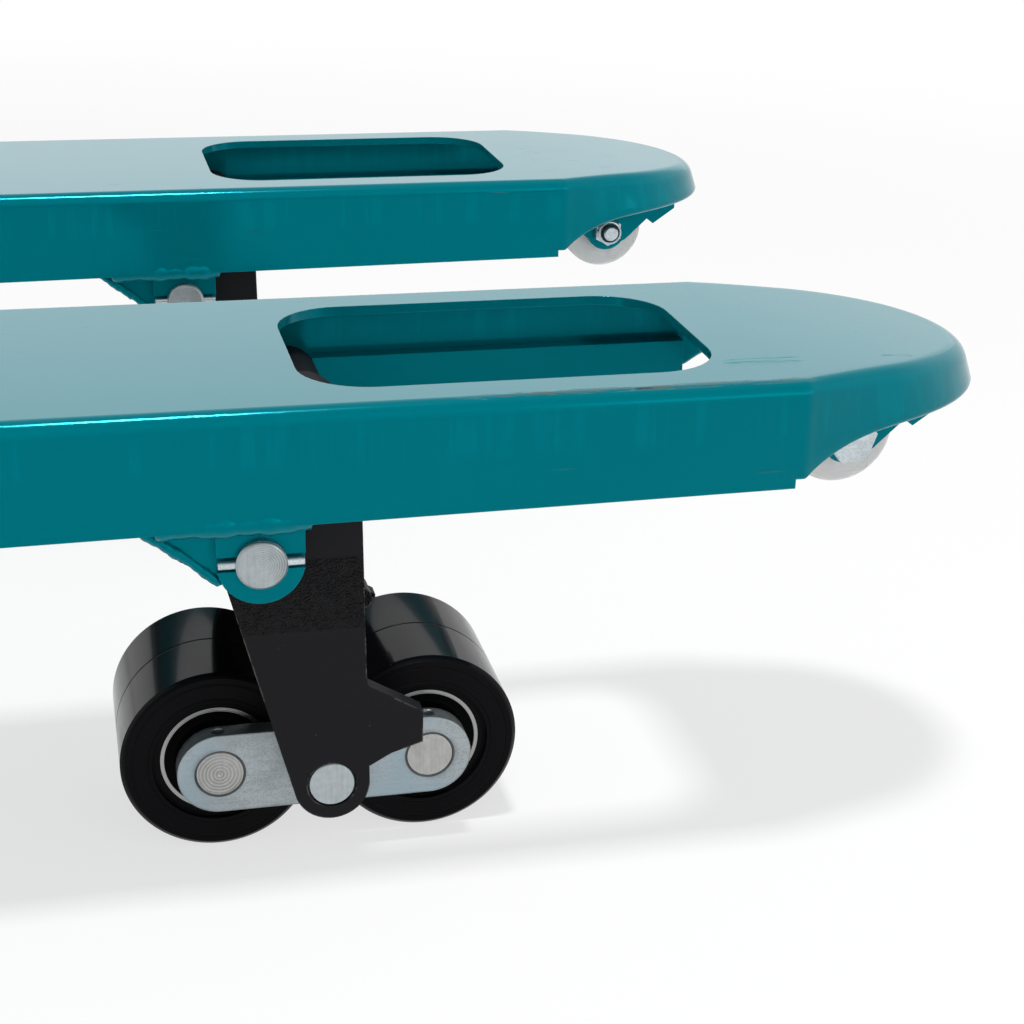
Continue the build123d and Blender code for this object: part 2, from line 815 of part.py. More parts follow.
def head_plan(inset):
    """Plan of the head frame: round over the pump and widening to the heel plate."""
    with BuildLine() as outline:
        Polyline((steer_x, head_seat_radius - inset), (head_front, heel_half - inset),
                 (head_front, inset - heel_half), (steer_x, inset - head_seat_radius), close=True)
    make_face(outline.edges())
    with Locations((steer_x, 0)):
        Circle(head_seat_radius - inset)


def make_head_frame():
    """Two cheeks that rise from the heel plate and reach over the pump to the piston's seat."""
    foot = crank_height + crank_shaft_radius + head_foot_gap
    crown = head_seat + head_depth
    front_top = crank_height + heel_crown
    back = steer_x - head_seat_radius
    throat = post_x - head_skirt
    with BuildPart() as head:
        with BuildSketch(side_plane(0)):
            with BuildLine():
                Polyline((head_front, foot), (post_x, foot), (post_x, head_seat - head_skirt),
                         (throat, head_seat), (back, head_seat), (back, head_seat + head_nose),
                         (steer_x, crown), (post_x, crown), (head_front, front_top), close=True)
            make_face()
        extrude(amount=heel_half, both=True)
        with BuildSketch(Plane.XY):
            head_plan(0)
        extrude(amount=crown, mode=Mode.INTERSECT)
        with BuildSketch(Plane.XY):
            head_plan(head_plate)
        hollow = extrude(amount=crown, mode=Mode.PRIVATE)
        with BuildSketch(side_plane(0)):
            with BuildLine():
                Polyline((head_front, foot), (throat, foot), (throat, head_seat - head_skirt),
                         (post_x, crown - 2 * head_plate), (head_front, front_top - 2 * head_plate),
                         close=True)
            make_face()
        gap = extrude(amount=heel_half, both=True, mode=Mode.PRIVATE)
        add(hollow & gap, mode=Mode.SUBTRACT)
    save(head.part, "head_frame")


def make_lift_piston():
    with BuildPart() as piston:
        upright(steer_x, 0, barrel_top - piston_overlap, head_seat, piston_radius)
        chamfer(piston.edges().filter_by(GeomType.CIRCLE), piston_radius / 15)
    save(piston.part, "lift_piston")


def make_pump_body():
    """Casting with the axle housing, neck, plunger block, barrel and the tiller's ears."""
    housing_half = steer_wheel_inner - axle_housing_play
    ear_middle = ear_inner + ear_thickness / 2
    ear_foot = block_base + ear_radius
    gland_top = barrel_top + gland_height
    bore_floor = barrel_top - piston_overlap - lift_stroke - head_clearance
    with BuildPart() as pump:
        with Locations((steer_x, 0, steer_wheel_radius)):
            Box(axle_housing_length, 2 * housing_half, axle_housing_height)
        fillet(pump.edges().filter_by(Axis.Z), axle_housing_round)
        upright(steer_x, 0, steer_wheel_radius, shoulder_z, neck_radius)
        upright(steer_x, 0, shoulder_z, block_base, shoulder_radius)
        with BuildSketch(Plane.XY.offset(block_base)):
            with Locations((steer_x, 0)):
                Circle(shoulder_radius)
            with Locations((plunger_x, 0)):
                Circle(plunger_housing_radius)
            make_hull()
        extrude(amount=block_height)
        upright(steer_x, 0, block_top, barrel_top, barrel_radius)
        with BuildSketch(Plane.XY.offset(barrel_top)):
            with Locations((steer_x, 0)):
                RegularPolygon(gland_radius, 8)
        extrude(amount=gland_height)
        for face in both_faces:
            with BuildSketch(side_plane(face * ear_middle)):
                with Locations((tiller_x, tiller_z)):
                    Circle(ear_radius)
                with Locations((tiller_x, ear_foot), (steer_x - barrel_radius, ear_foot)):
                    Circle(ear_radius / 2)
                make_hull()
            extrude(amount=ear_thickness / 2, both=True)
        cross_bar(tiller_x + ear_radius, block_base + block_height / 2, 0,
                  valve_seat + valve_lever_thickness + ear_thickness / 2, valve_pin_radius)
        upright(steer_x, 0, bore_floor, gland_top, piston_radius + running_clearance, Mode.SUBTRACT)
        upright(plunger_x, 0, block_top - plunger_bore_depth, block_top, plunger_radius + running_clearance,
                Mode.SUBTRACT)
        cross_bar(steer_x, steer_wheel_radius, -housing_half, housing_half, steer_axle_radius, Mode.SUBTRACT)
        cross_bar(tiller_x, tiller_z, -ear_inner - ear_thickness, ear_inner + ear_thickness,
                  tiller_pin_radius, Mode.SUBTRACT)
    save(pump.part, "pump_body")


def make_oil_tank():
    """Round jacket in front of the barrel, with a flat back that leaves room for the tiller."""
    with BuildPart() as tank:
        with BuildSketch(Plane.XY.offset(block_top)):
            with Locations((steer_x, 0)):
                Circle(tank_radius)
                with Locations((-tank_radius - tank_cut, 0)):
                    Rectangle(2 * tank_radius, 2 * tank_radius, mode=Mode.SUBTRACT)
        extrude(amount=tank_height)
        fillet(tank.faces().sort_by(Axis.Z)[-1].edges(), tank_wall)
        upright(steer_x, 0, block_top, block_top + tank_height, barrel_radius, Mode.SUBTRACT)
    save(tank.part, "oil_tank")


def make_steer_axle():
    half = steer_wheel_outer + circlip_thickness + steer_axle_end
    with BuildPart() as axle:
        cross_bar(steer_x, steer_wheel_radius, -half, half, steer_axle_radius)
        chamfer(axle.edges().filter_by(GeomType.CIRCLE), steer_axle_radius / 10)
    save(axle.part, "steer_axle")


def make_axle_circlips():
    with BuildPart() as clips:
        for side in sides.values():
            seat = side * (steer_wheel_outer + running_clearance)
            outer = seat + side * circlip_thickness
            cross_bar(steer_x, steer_wheel_radius, seat, outer, steer_axle_radius + circlip_width)
            cross_bar(steer_x, steer_wheel_radius, seat, outer, steer_axle_radius, Mode.SUBTRACT)
    save(clips.part, "axle_circlips")


def steer_wheel_middle(side):
    return side * (steer_wheel_inner + steer_wheel_width / 2)


def make_steer_tyre(side, name):
    half = steer_wheel_width / 2
    tread = half - steer_rim
    wall = steer_wheel_radius - steer_rim
    outline = ((steer_hub_radius, -half), (wall, -half), (steer_wheel_radius, -tread),
               (steer_wheel_radius, tread), (wall, half), (steer_hub_radius, half))
    with BuildPart() as tyre:
        spun(steer_x, steer_wheel_middle(side), steer_wheel_radius, outline)
    save(tyre.part, name)


def make_steer_hub(side, name):
    """Cast hub: a rim, a thinner web and a boss bored for two bearings."""
    half = steer_wheel_width / 2
    web = steer_web / 2
    boss = steer_bearing_radius + steer_rim
    rim = steer_hub_radius - steer_rim
    inner = half - steer_bearing_width
    shoulder = steer_bearing_radius - steer_rim
    front = ((shoulder, inner), (steer_bearing_radius, inner), (steer_bearing_radius, half), (boss, half),
             (boss, web), (rim, web), (rim, half), (steer_hub_radius, half))
    back = tuple((radius, -across) for radius, across in reversed(front))
    with BuildPart() as hub:
        spun(steer_x, steer_wheel_middle(side), steer_wheel_radius, front + back)
    save(hub.part, name)


def make_steer_bearings(side, name):
    with BuildPart() as bearings:
        for face in both_faces:
            spun(steer_x, steer_wheel_middle(side), steer_wheel_radius,
                 bearing_outline(steer_axle_radius + bearing_ring, steer_wheel_width / 2,
                                 steer_axle_radius + running_clearance, steer_bearing_radius,
                                 steer_bearing_width, face))
    save(bearings.part, name)


def make_pump_plunger():
    with BuildPart() as plunger:
        upright(plunger_x, 0, block_top - plunger_grip, plunger_top, plunger_radius)
        upright(plunger_x, 0, plunger_top - plunger_cap, plunger_top, plunger_cap_radius)
        fillet(plunger.edges().group_by(Axis.Z)[-1], plunger_cap / 6)
    save(plunger.part, "pump_plunger")


def make_valve_lever():
    """Lever on the pump's left side that opens the lowering valve."""
    x, z = tiller_x + ear_radius, block_base + block_height / 2
    with BuildPart() as lever:
        with BuildSketch(side_plane(valve_seat + valve_lever_thickness / 2)):
            with Locations((x, z)):
                Circle(valve_lever_boss)
            with Locations((x - valve_lever_length, z)):
                Circle(valve_lever_tip)
            make_hull()
            with Locations((x, z)):
                Circle(valve_pin_radius + running_clearance, mode=Mode.SUBTRACT)
        extrude(amount=valve_lever_thickness / 2, both=True)
    save(lever.part, "valve_lever")


def make_tiller_pivot_pin():
    half = ear_inner + ear_thickness
    with BuildPart() as pin:
        cross_bar(tiller_x, tiller_z, -half, half, tiller_pin_radius)
        chamfer(pin.edges().filter_by(GeomType.CIRCLE), tiller_pin_radius / 10)
    save(pin.part, "tiller_pivot_pin")


def pressure_place():
    """The pressure roller's place before the tiller takes its lean."""
    angle = radians(pressure_angle - tiller_lean)
    return (tiller_x - pressure_arm * cos(angle), tiller_z + pressure_arm * sin(angle))


def make_tiller_yoke():
    """Fork on the hinge pin that holds the pressure roller and ends in a socket for the tube."""
    roller_x, roller_z = pressure_place()
    socket_radius = tube_radius + yoke_socket_wall
    socket_base = tiller_z + yoke_socket_base
    socket_top = tiller_z + yoke_socket_top
    with BuildPart() as yoke:
        for face in both_faces:
            with BuildSketch(side_plane(face * (yoke_inner + yoke_outer) / 2)):
                with Locations((tiller_x, tiller_z)):
                    Circle(yoke_boss)
                with Locations((roller_x, roller_z)):
                    Circle(2 * pressure_pin_radius)
                with Locations((tiller_x, socket_base)):
                    Circle(socket_radius)
                make_hull()
            extrude(amount=(yoke_outer - yoke_inner) / 2, both=True)
        with Locations((tiller_x, 0, tiller_z + (yoke_neck + yoke_socket_base) / 2)):
            Box(2 * socket_radius, 2 * yoke_outer, yoke_socket_base - yoke_neck)
        upright(tiller_x, 0, tiller_z + yoke_neck, socket_top, socket_radius)
        cross_bar(roller_x, roller_z, -yoke_outer, yoke_outer, pressure_pin_radius)
        upright(tiller_x, 0, socket_base, socket_top, tube_radius, Mode.SUBTRACT)
        upright(tiller_x, 0, tiller_z + yoke_neck, socket_base, release_rod_radius + release_rod_play,
                Mode.SUBTRACT)
        cross_bar(tiller_x, tiller_z, -yoke_outer, yoke_outer, tiller_pin_radius + running_clearance,
                  Mode.SUBTRACT)
    save(lean(yoke.part), "tiller_yoke")


def make_pressure_roller():
    x, z = pressure_place()
    half = pressure_roller_half
    with BuildPart() as roller:
        cross_bar(x, z, -half, half, pressure_roller_radius)
        chamfer(roller.edges().filter_by(GeomType.CIRCLE), pressure_roller_radius / 15)
        cross_bar(x, z, -half, half, pressure_pin_radius + running_clearance, Mode.SUBTRACT)
    save(lean(roller.part), "pressure_roller")


def make_tiller_tube():
    base, top = tiller_z + yoke_socket_base, tiller_z + loop_base - loop_bar_radius
    with BuildPart() as tube:
        upright(tiller_x, 0, base, top, tube_radius)
        upright(tiller_x, 0, base, top, tube_radius - tube_wall, Mode.SUBTRACT)
    save(lean(tube.part), "tiller_tube")


def loop_points():
    base, top = tiller_z + loop_base, tiller_z + loop_base + loop_height
    return ((0, base), (loop_base_half, base), (loop_top_half, top), (-loop_top_half, top),
            (-loop_base_half, base))


def make_handle_loop():
    """Moulded loop on a stem that fits over the tube, with two lugs for the control lever."""
    base = tiller_z + loop_base
    with BuildPart() as handle:
        with BuildLine(Plane.YZ.offset(tiller_x)) as path:
            FilletPolyline(*loop_points(), radius=(0,) + 4 * (loop_corner,), close=True)
        with BuildSketch(Plane(path.line @ 0, z_dir=path.line % 0)):
            Circle(loop_bar_radius)
        sweep(path=path.line)
        upright(tiller_x, 0, stem_base, base, handle_stem_radius)
        for face in both_faces:
            middle = face * (lever_half + lever_lug_gap + lever_lug / 2)
            with Locations((tiller_x, middle, base + lever_hinge_rise / 2)):
                Box(2 * lever_boss, lever_lug, lever_hinge_rise)
            cross_bar(tiller_x, hinge_z, middle - lever_lug / 2, middle + lever_lug / 2, lever_boss)
        upright(tiller_x, 0, stem_base, base - loop_bar_radius, tube_radius, Mode.SUBTRACT)
        upright(tiller_x, 0, base - loop_bar_radius, base + lever_hinge_rise,
                release_rod_radius + release_rod_play, Mode.SUBTRACT)
        lug_outer = lever_half + lever_lug_gap + lever_lug
        cross_bar(tiller_x, hinge_z, -lug_outer, lug_outer, lever_pin_radius + running_clearance,
                  Mode.SUBTRACT)
    save(lean(handle.part), "handle_loop")


def make_control_lever():
    """Finger lever on two short trunnions inside the loop."""
    trunnion = lever_half + lever_lug_gap + lever_lug
    with BuildPart() as lever:
        with BuildSketch(side_plane(0)):
            with Locations((tiller_x, hinge_z)):
                Circle(lever_boss)
            with Locations((tiller_x, hinge_z + lever_length)):
                Circle(lever_tip)
            make_hull()
        extrude(amount=lever_half, both=True)
        fillet(lever.edges().filter_by(GeomType.CIRCLE), lever_tip / 4)
        cross_bar(tiller_x, hinge_z, -trunnion, trunnion, lever_pin_radius)
    save(lean(lever.part), "control_lever")


def make_release_rod():
    """Thin rod inside the tube, from the handle to the yoke."""
    with BuildPart() as rod:
        upright(tiller_x, 0, tiller_z + yoke_neck - release_rod_end / 2,
                tiller_z + loop_base + release_rod_end, release_rod_radius)
    save(lean(rod.part), "release_rod")


os.makedirs("parts", exist_ok=True)
make_fork_rails()
make_pivot_brackets()
make_arm_pivot_pins()
make_pivot_roll_pins()
make_entry_roller_cheeks()
make_entry_roller_bolts()
make_entry_roller_nuts()
make_heel_plate()
make_head_frame()
make_lift_piston()
make_lift_crank()
make_thrust_collar()
make_thrust_bearing()
make_pump_body()
make_oil_tank()
make_steer_axle()
make_axle_circlips()
make_pump_plunger()
make_valve_lever()
make_tiller_pivot_pin()
make_tiller_yoke()
make_pressure_roller()
make_tiller_tube()
make_handle_loop()
make_control_lever()
make_release_rod()
for word, side in sides.items():
    make_fork(side, f"fork_{word}")
    make_nose(side, f"fork_nose_{word}")
    make_entry_roller(side, f"entry_roller_{word}")
    make_wheel_arm(side, f"wheel_arm_{word}")
    make_rod_pin(side, f"rod_pin_{word}")
    make_rocker_pins(side, f"rocker_pins_{word}")
    make_rocker_plates(side, f"rocker_plates_{word}")
    make_wheel_axles(side, f"wheel_axles_{word}")
    make_axle_set_pins(side, f"axle_set_pins_{word}")
    make_push_rod(side, f"push_rod_{word}")
    make_steer_tyre(side, f"steer_tyre_{word}")
    make_steer_hub(side, f"steer_hub_{word}")
    make_steer_bearings(side, f"steer_bearings_{word}")
    for end, x in zip(("rear", "front"), axle_places()):
        make_load_roller(side, x, f"load_roller_{word}_{end}")
        make_load_bearings(side, x, f"load_bearings_{word}_{end}")
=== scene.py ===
import json
import math

import bmesh
import bpy
import numpy as np
from bpy.props import FloatProperty, FloatVectorProperty, PointerProperty
from mathutils import Matrix, Vector


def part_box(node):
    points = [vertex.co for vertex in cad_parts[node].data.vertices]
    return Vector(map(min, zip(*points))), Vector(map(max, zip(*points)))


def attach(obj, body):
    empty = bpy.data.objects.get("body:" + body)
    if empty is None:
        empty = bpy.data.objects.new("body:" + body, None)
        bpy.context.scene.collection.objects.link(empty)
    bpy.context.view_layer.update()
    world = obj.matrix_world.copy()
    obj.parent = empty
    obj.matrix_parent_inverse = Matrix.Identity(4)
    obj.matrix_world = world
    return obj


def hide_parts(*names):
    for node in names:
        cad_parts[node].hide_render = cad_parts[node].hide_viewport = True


bl_info = {
    "name": "Pallet truck",
    "version": (1, 0, 0),
    "blender": (4, 5, 0),
    "location": "3D View > Sidebar > Truck",
    "description": "Dresses a hand pallet truck with pressed noses, welds, fittings and worn finishes",
    "category": "Object",
}

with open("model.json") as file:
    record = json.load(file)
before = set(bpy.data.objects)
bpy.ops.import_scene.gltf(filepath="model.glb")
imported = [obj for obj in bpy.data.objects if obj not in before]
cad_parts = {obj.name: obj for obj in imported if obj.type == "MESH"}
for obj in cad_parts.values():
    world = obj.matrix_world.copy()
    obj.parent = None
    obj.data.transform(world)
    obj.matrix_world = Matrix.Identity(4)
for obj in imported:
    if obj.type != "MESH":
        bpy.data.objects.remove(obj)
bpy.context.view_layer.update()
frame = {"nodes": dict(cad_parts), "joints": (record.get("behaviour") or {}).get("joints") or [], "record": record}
JOINTS = {joint["name"]: joint for joint in frame["joints"]}
SIDES = ("left", "right")
MERGE = 1e-6
OVERLAP, LAP_RISE = 0.004, 0.00002
COLOUR = {"subtype": "COLOR", "size": 4, "min": 0, "max": 1}


def joint_place(name):
    """Where a joint sits, in metres."""
    return np.array(JOINTS[name]["pos_m"], float)


def node_box(node):
    """Lowest and highest corner of a solid, as arrays."""
    low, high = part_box(node)
    return np.array(low), np.array(high)


class TruckColours(bpy.types.PropertyGroup):
    """Colours of the truck's finishes."""

    paint: FloatVectorProperty(
        name="Paint", description="Teal paint of forks and frame", default=(0.0, 0.156, 0.193, 1), **COLOUR)
    scrape: FloatVectorProperty(
        name="Scrape", description="Metal where paint is gone", default=(0.11, 0.085, 0.06, 1), **COLOUR)
    black: FloatVectorProperty(
        name="Arm black", description="Black paint of the arms", default=(0.006, 0.006, 0.0078, 1), **COLOUR)
    rubber: FloatVectorProperty(
        name="Roller", description="Rollers and tyres", default=(0.0028, 0.0027, 0.0036, 1), **COLOUR)
    zinc: FloatVectorProperty(
        name="Zinc", description="Bluish zinc plating", default=(0.335, 0.372, 0.389, 1), **COLOUR)
    steel: FloatVectorProperty(
        name="Steel", description="Bare turned steel", default=(0.41, 0.415, 0.405, 1), **COLOUR)
    iron: FloatVectorProperty(
        name="Iron", description="Cast hubs of the steering wheels", default=(0.30, 0.31, 0.32, 1), **COLOUR)
    nylon: FloatVectorProperty(
        name="Nylon", description="White entry rollers", default=(0.71, 0.71, 0.71, 1), **COLOUR)
    plastic: FloatVectorProperty(
        name="Handle", description="Moulded handle", default=(0.014, 0.014, 0.016, 1), **COLOUR)
    insert: FloatVectorProperty(
        name="Insert", description="Locking rings of the nuts", default=(0.012, 0.026, 0.036, 1), **COLOUR)


class TruckSizes(bpy.types.PropertyGroup):
    """Sizes of the pieces that dress the solids."""

    sheet: FloatProperty(
        name="Sheet", description="Thickness of the pressed sheet", unit="LENGTH", default=0.004)
    bend: FloatProperty(
        name="Bend", description="Rounding of the channel's long edges", unit="LENGTH", default=0.006)
    tip_round: FloatProperty(
        name="Tip rounding", description="Rounding of the tip's upper edge", unit="LENGTH", default=0.0105)
    flare: FloatProperty(
        name="Flare", description="Lean of the nose's front wall", subtype="ANGLE", default=math.radians(18))
    dip: FloatProperty(
        name="Dip", description="How far the nose's top falls to the tip", unit="LENGTH", default=0.0045)
    taper: FloatProperty(
        name="Taper", description="Angle of the nose's sides", subtype="ANGLE", default=math.radians(13.6))
    fold: FloatProperty(
        name="Fold", description="Length over which the taper begins", unit="LENGTH", default=0.003)
    ridge: FloatProperty(
        name="Seam ridge", description="Height of the ground weld's ridge", unit="LENGTH", default=0.00045)
    ridge_width: FloatProperty(
        name="Seam width", description="Half width of that ridge", unit="LENGTH", default=0.0026)
    cap: FloatProperty(
        name="Cap", description="Length of the nose's rounded front", unit="LENGTH", default=0.078)
    shy: FloatProperty(
        name="Shy", description="How far the front stops short of the solid", unit="LENGTH", default=0.0024)
    rim_low: FloatProperty(
        name="Rim at weld", description="Depth of the nose's wall at the weld", unit="LENGTH", default=0.0405)
    rim_high: FloatProperty(
        name="Rim at tip", description="Depth of the nose's front wall", unit="LENGTH", default=0.0214)
    rim_climb: FloatProperty(
        name="Rim climb", description="Length over which the rim climbs", unit="LENGTH", default=0.021)
    bead: FloatProperty(
        name="Weld bead", description="Half width of a weld bead", unit="LENGTH", default=0.0040)
    ripple: FloatProperty(
        name="Weld ripple", description="Pitch of the ripples on a bead", unit="LENGTH", default=0.0031)
    bevel: FloatProperty(
        name="Softened edge", description="Radius of an edge under paint", unit="LENGTH", default=0.0006)
    grip: FloatProperty(
        name="Grip", description="Thickness of the handle's sleeves", unit="LENGTH", default=0.0022)
    bolt: FloatProperty(
        name="Bolt", description="Half width of the larger bolts' heads", unit="LENGTH", default=0.0095)
    entry_head: FloatProperty(
        name="Entry bolt", description="Half width of an entry bolt's head", unit="LENGTH", default=0.0098)
    head_turn: FloatProperty(
        name="Bolt turn", description="Turn of that head", subtype="ANGLE", default=math.radians(20))
    entry_nut: FloatProperty(
        name="Entry nut", description="Half width of an entry bolt's nut", unit="LENGTH", default=0.0075)
    shank: FloatProperty(
        name="Shank", description="Radius of an entry bolt's shoulder", unit="LENGTH", default=0.0050)
    thread: FloatProperty(
        name="Thread", description="Radius of an entry bolt's threaded end", unit="LENGTH", default=0.0043)
    thread_end: FloatProperty(
        name="Thread length", description="Length of that threaded end", unit="LENGTH", default=0.0115)
    nut_height: FloatProperty(
        name="Nut height", description="Height of an entry bolt's nut", unit="LENGTH", default=0.0090)


class StageSettings(bpy.types.PropertyGroup):
    """Camera, lamps and floor."""

    eye: FloatVectorProperty(
        name="Camera", description="Where the camera stands", subtype="TRANSLATION",
        default=(0.38397, -0.95303, 0.43707))
    turn: FloatProperty(
        name="Turn", description="Camera's turn from +Y towards +X", subtype="ANGLE",
        default=math.radians(13.56))
    dip: FloatProperty(
        name="Dip", description="Camera's look down", subtype="ANGLE", default=math.radians(21.448))
    roll: FloatProperty(
        name="Roll", description="Camera's roll", subtype="ANGLE", default=math.radians(1.247))
    lens: FloatProperty(
        name="Lens", description="Focal length for a 36 mm sensor", unit="CAMERA", default=68.89)
    key: FloatProperty(name="Key lamp", description="Power of the lamp overhead", unit="POWER", default=58.0)
    fill: FloatProperty(
        name="Front lamp", description="Power of the soft lamp in front", unit="POWER", default=10.0)
    screen: FloatProperty(
        name="Screen", description="Power of the bright screen behind the truck", unit="POWER", default=8.0)
    sky: FloatProperty(name="Sky", description="Strength of the light from all round", default=0.41)
    floor: FloatVectorProperty(
        name="Floor", description="Colour of the floor", default=(0.95, 0.95, 0.95, 1), **COLOUR)
    glow: FloatProperty(
        name="Floor glow", description="Share of plain white in the floor that is seen", default=0.68)


def operation(name):
    """A method of Value that adds one Math node."""

    def method(self, *others):
        return self.nodes.node("ShaderNodeMath", {"operation": name}, dict(enumerate((self, *others))))

    return method


class Value:
    """A socket whose arithmetic adds Math nodes to its tree."""

    __add__ = __radd__ = operation("ADD")
    __sub__ = operation("SUBTRACT")
    __mul__ = __rmul__ = operation("MULTIPLY")
    __pow__ = operation("POWER")
    least = operation("MINIMUM")
    most = operation("MAXIMUM")
    sine = operation("SINE")

    def __init__(self, nodes, socket):
        self.nodes, self.socket = nodes, socket

    def __rsub__(self, other):
        return self * -1 + other

    def rise(self, low, high):
        """0 below low, 1 above high, smooth between; low may be the larger one."""
        return self.nodes.node("ShaderNodeMapRange", {"interpolation_type": "SMOOTHSTEP"},
                               {0: self, 1: low, 2: high})

    def between(self, low, high, soft):
        """1 between two values, fading over a soft width."""
        return self.rise(low - soft, low + soft) * self.rise(high + soft, high - soft)


class Nodes:
    """Nodes added to one tree, on one kind of texture coordinates."""

    def __init__(self, tree, coordinates):
        self.tree = tree
        self.place = self.node("ShaderNodeTexCoord", out=coordinates)

    def node(self, kind, settings=(), sockets=(), out=0):
        """Add a node: its settings first, then the values or links of its sockets."""
        made = self.tree.nodes.new(kind)
        for key, value in dict(settings).items():
            setattr(made, key, value)
        self.fill(made, dict(sockets))
        return Value(self, made.outputs[out])

    def fill(self, node, sockets):
        """Link the sockets that have a Value and set the others."""
        for key, value in sockets.items():
            if isinstance(value, Value):
                self.tree.links.new(value.socket, node.inputs[key])
            else:
                node.inputs[key].default_value = value

    def axes(self):
        """The coordinates' three numbers."""
        split = self.node("ShaderNodeSeparateXYZ", {}, {0: self.place}).socket.node
        return [Value(self, socket) for socket in split.outputs]


class Finish(Nodes):
    """One procedural material on object coordinates, which are the truck's own metres."""

    def __init__(self, name):
        self.name = name
        self.material = bpy.data.materials.new(f"{name}_finish")
        self.material.use_nodes = True
        super().__init__(self.material.node_tree, "Object")
        self.shader = self.tree.nodes["Principled BSDF"]

    def set(self, **values):
        """Set or link sockets of the shader; an underscore in a name stands for a space."""
        self.fill(self.shader, {key.replace("_", " "): value for key, value in values.items()})

    def noise(self, scale, detail=3.0, rough=0.55, place=None):
        return self.node("ShaderNodeTexNoise", {}, {"Vector": place or self.place, "Scale": scale,
                                                    "Detail": detail, "Roughness": rough})

    def drawn(self, scale, detail, rough=0.55):
        """Noise drawn out along the axes with a smaller scale."""
        place = self.node("ShaderNodeMapping", {}, {"Vector": self.place, "Scale": scale})
        return self.noise(1.0, detail, rough, place)

    def cells(self, scale):
        return self.node("ShaderNodeTexVoronoi", {}, {"Vector": self.place, "Scale": scale})

    def mix(self, factor, first, second):
        return self.node("ShaderNodeMix", {"data_type": "RGBA"}, {0: factor, 6: first, 7: second}, out=2)

    def radius(self, centres):
        """Distance from the nearest of several cross axes, given as (x, z)."""
        x, _, z = self.axes()
        reach = None
        for across, up in centres:
            own = ((x - across) ** 2 + (z - up) ** 2) ** 0.5
            reach = own if reach is None else reach.least(own)
        return reach

    def soften(self, width, samples=4):
        """The normal, rounded off over a width at sharp edges."""
        return self.node("ShaderNodeBevel", {"samples": samples}, {"Radius": width})

    def worn(self, width):
        """1 on a sharp edge and 0 a width away from it: how far the softened normal leaves the surface's."""
        own = self.node("ShaderNodeNewGeometry", out="Normal")
        return self.node("ShaderNodeVectorMath", {"operation": "DOT_PRODUCT"},
                         {0: self.soften(width, 6), 1: own}, out="Value").rise(0.99, 0.80)

    def bump(self, height, distance, edge=0.0):
        """Give the shader a bumped normal, with edges rounded off over a width."""
        sockets = {"Height": height, "Distance": distance}
        if edge:
            sockets["Normal"] = self.soften(edge)
        self.set(Normal=self.node("ShaderNodeBump", {}, sockets))
        return self


def shaded(colour, factor):
    """A colour with its brightness scaled."""
    return tuple(channel * factor for channel in colour[:3]) + (1.0,)


def fork_wear(finish, top):
    """Wear of the right fork, each 0 to 1: its outer upper edge scraped to the metal, with a scratch on the
    nose, a dark gouge in that edge, and marks rubbed dull in front of the window. Zones are metres ahead of
    the arm's pivot and in from the fork's outer side, with the widths they fade over."""
    x, y, z = finish.axes()
    pivot, side = joint_place("arm_swing_right")[0], node_box("fork_right")[0][1]

    def zone(ahead, inward, fade):
        return (x.between(pivot + ahead[0], pivot + ahead[1], fade[0])
                * y.between(side + inward[0], side + inward[1], fade[1]))

    upper = z.rise(top - 0.003, top - 0.001)
    edge = zone((0.085, 0.212), (0.0035, 0.0068), (0.016, 0.0008)) * upper
    scratch = zone((0.259, 0.271), (0.0312, 0.0332), (0.002, 0.0006))
    gouge = zone((0.1455, 0.1520), (0.0040, 0.0056), (0.0015, 0.0006)) * upper
    patch = zone((0.190, 0.222), (0.026, 0.035), (0.004, 0.003))
    streaks = finish.drawn((70.0, 900.0, 900.0), 6.0, 0.7).rise(0.50, 0.57)
    marks = finish.drawn((30.0, 700.0, 700.0), 3.0, 0.6).rise(0.50, 0.57)
    return edge.most(scratch) * streaks * 0.8, gouge * 0.9, patch * marks


def paint_finish(name, colour, scrape, edge, worn):
    """Gloss paint: faint clouds, orange peel, runs down the sides, specks and scuffs, and on worn paint the
    right fork's wear."""
    finish = Finish(name)
    top = node_box("fork_right")[1][2]
    dulled, glint = (0.0, 0.20, 0.185, 1), (0.0, 0.80, 1.0, 1)
    tone = finish.mix(finish.noise(7.0), shaded(colour, 0.93), shaded(colour, 1.06))
    runs = finish.drawn((160.0, 160.0, 9.0), 2.0).rise(0.50, 0.66)
    runs = runs * finish.axes()[2].between(top - 0.022, top - 0.006, 0.004)
    tone = finish.mix(runs * 0.30, tone, shaded(colour, 1.35))
    specks = finish.cells(330.0).rise(0.16, 0.05) * finish.noise(12.0).rise(0.62, 0.70)
    tone = finish.mix(specks * 0.55, tone, shaded(colour, 0.45))
    scuff = finish.drawn((40.0, 420.0, 420.0), 5.0).rise(0.66, 0.76)
    rub = scuff * finish.noise(5.0, 1.0).rise(0.50, 0.64) * 0.30
    gouge = dull = 0.0
    if worn:
        scraped, gouge, dull = fork_wear(finish, top)
        rub = rub.most(scraped)
    tone = finish.mix(dull * 0.8, tone, dulled)
    thin = finish.worn(2 * edge) * finish.noise(55.0, 4.0).rise(0.46, 0.58)
    tone = finish.mix(thin * 0.30, tone, shaded(colour, 1.7))
    tone = finish.mix(rub, tone, scrape)
    tone = finish.mix(gouge, tone, shaded(scrape, 0.12))
    rough = finish.noise(60.0) * 0.05 + 0.10 + rub * 0.4 + dull * 0.35
    finish.set(Base_Color=tone, Roughness=rough, Specular_IOR_Level=0.60, Specular_Tint=glint)
    peel = finish.noise(300.0, 2.0) * 0.3
    return finish.bump(peel - rub * 2.0, 0.00008, edge)


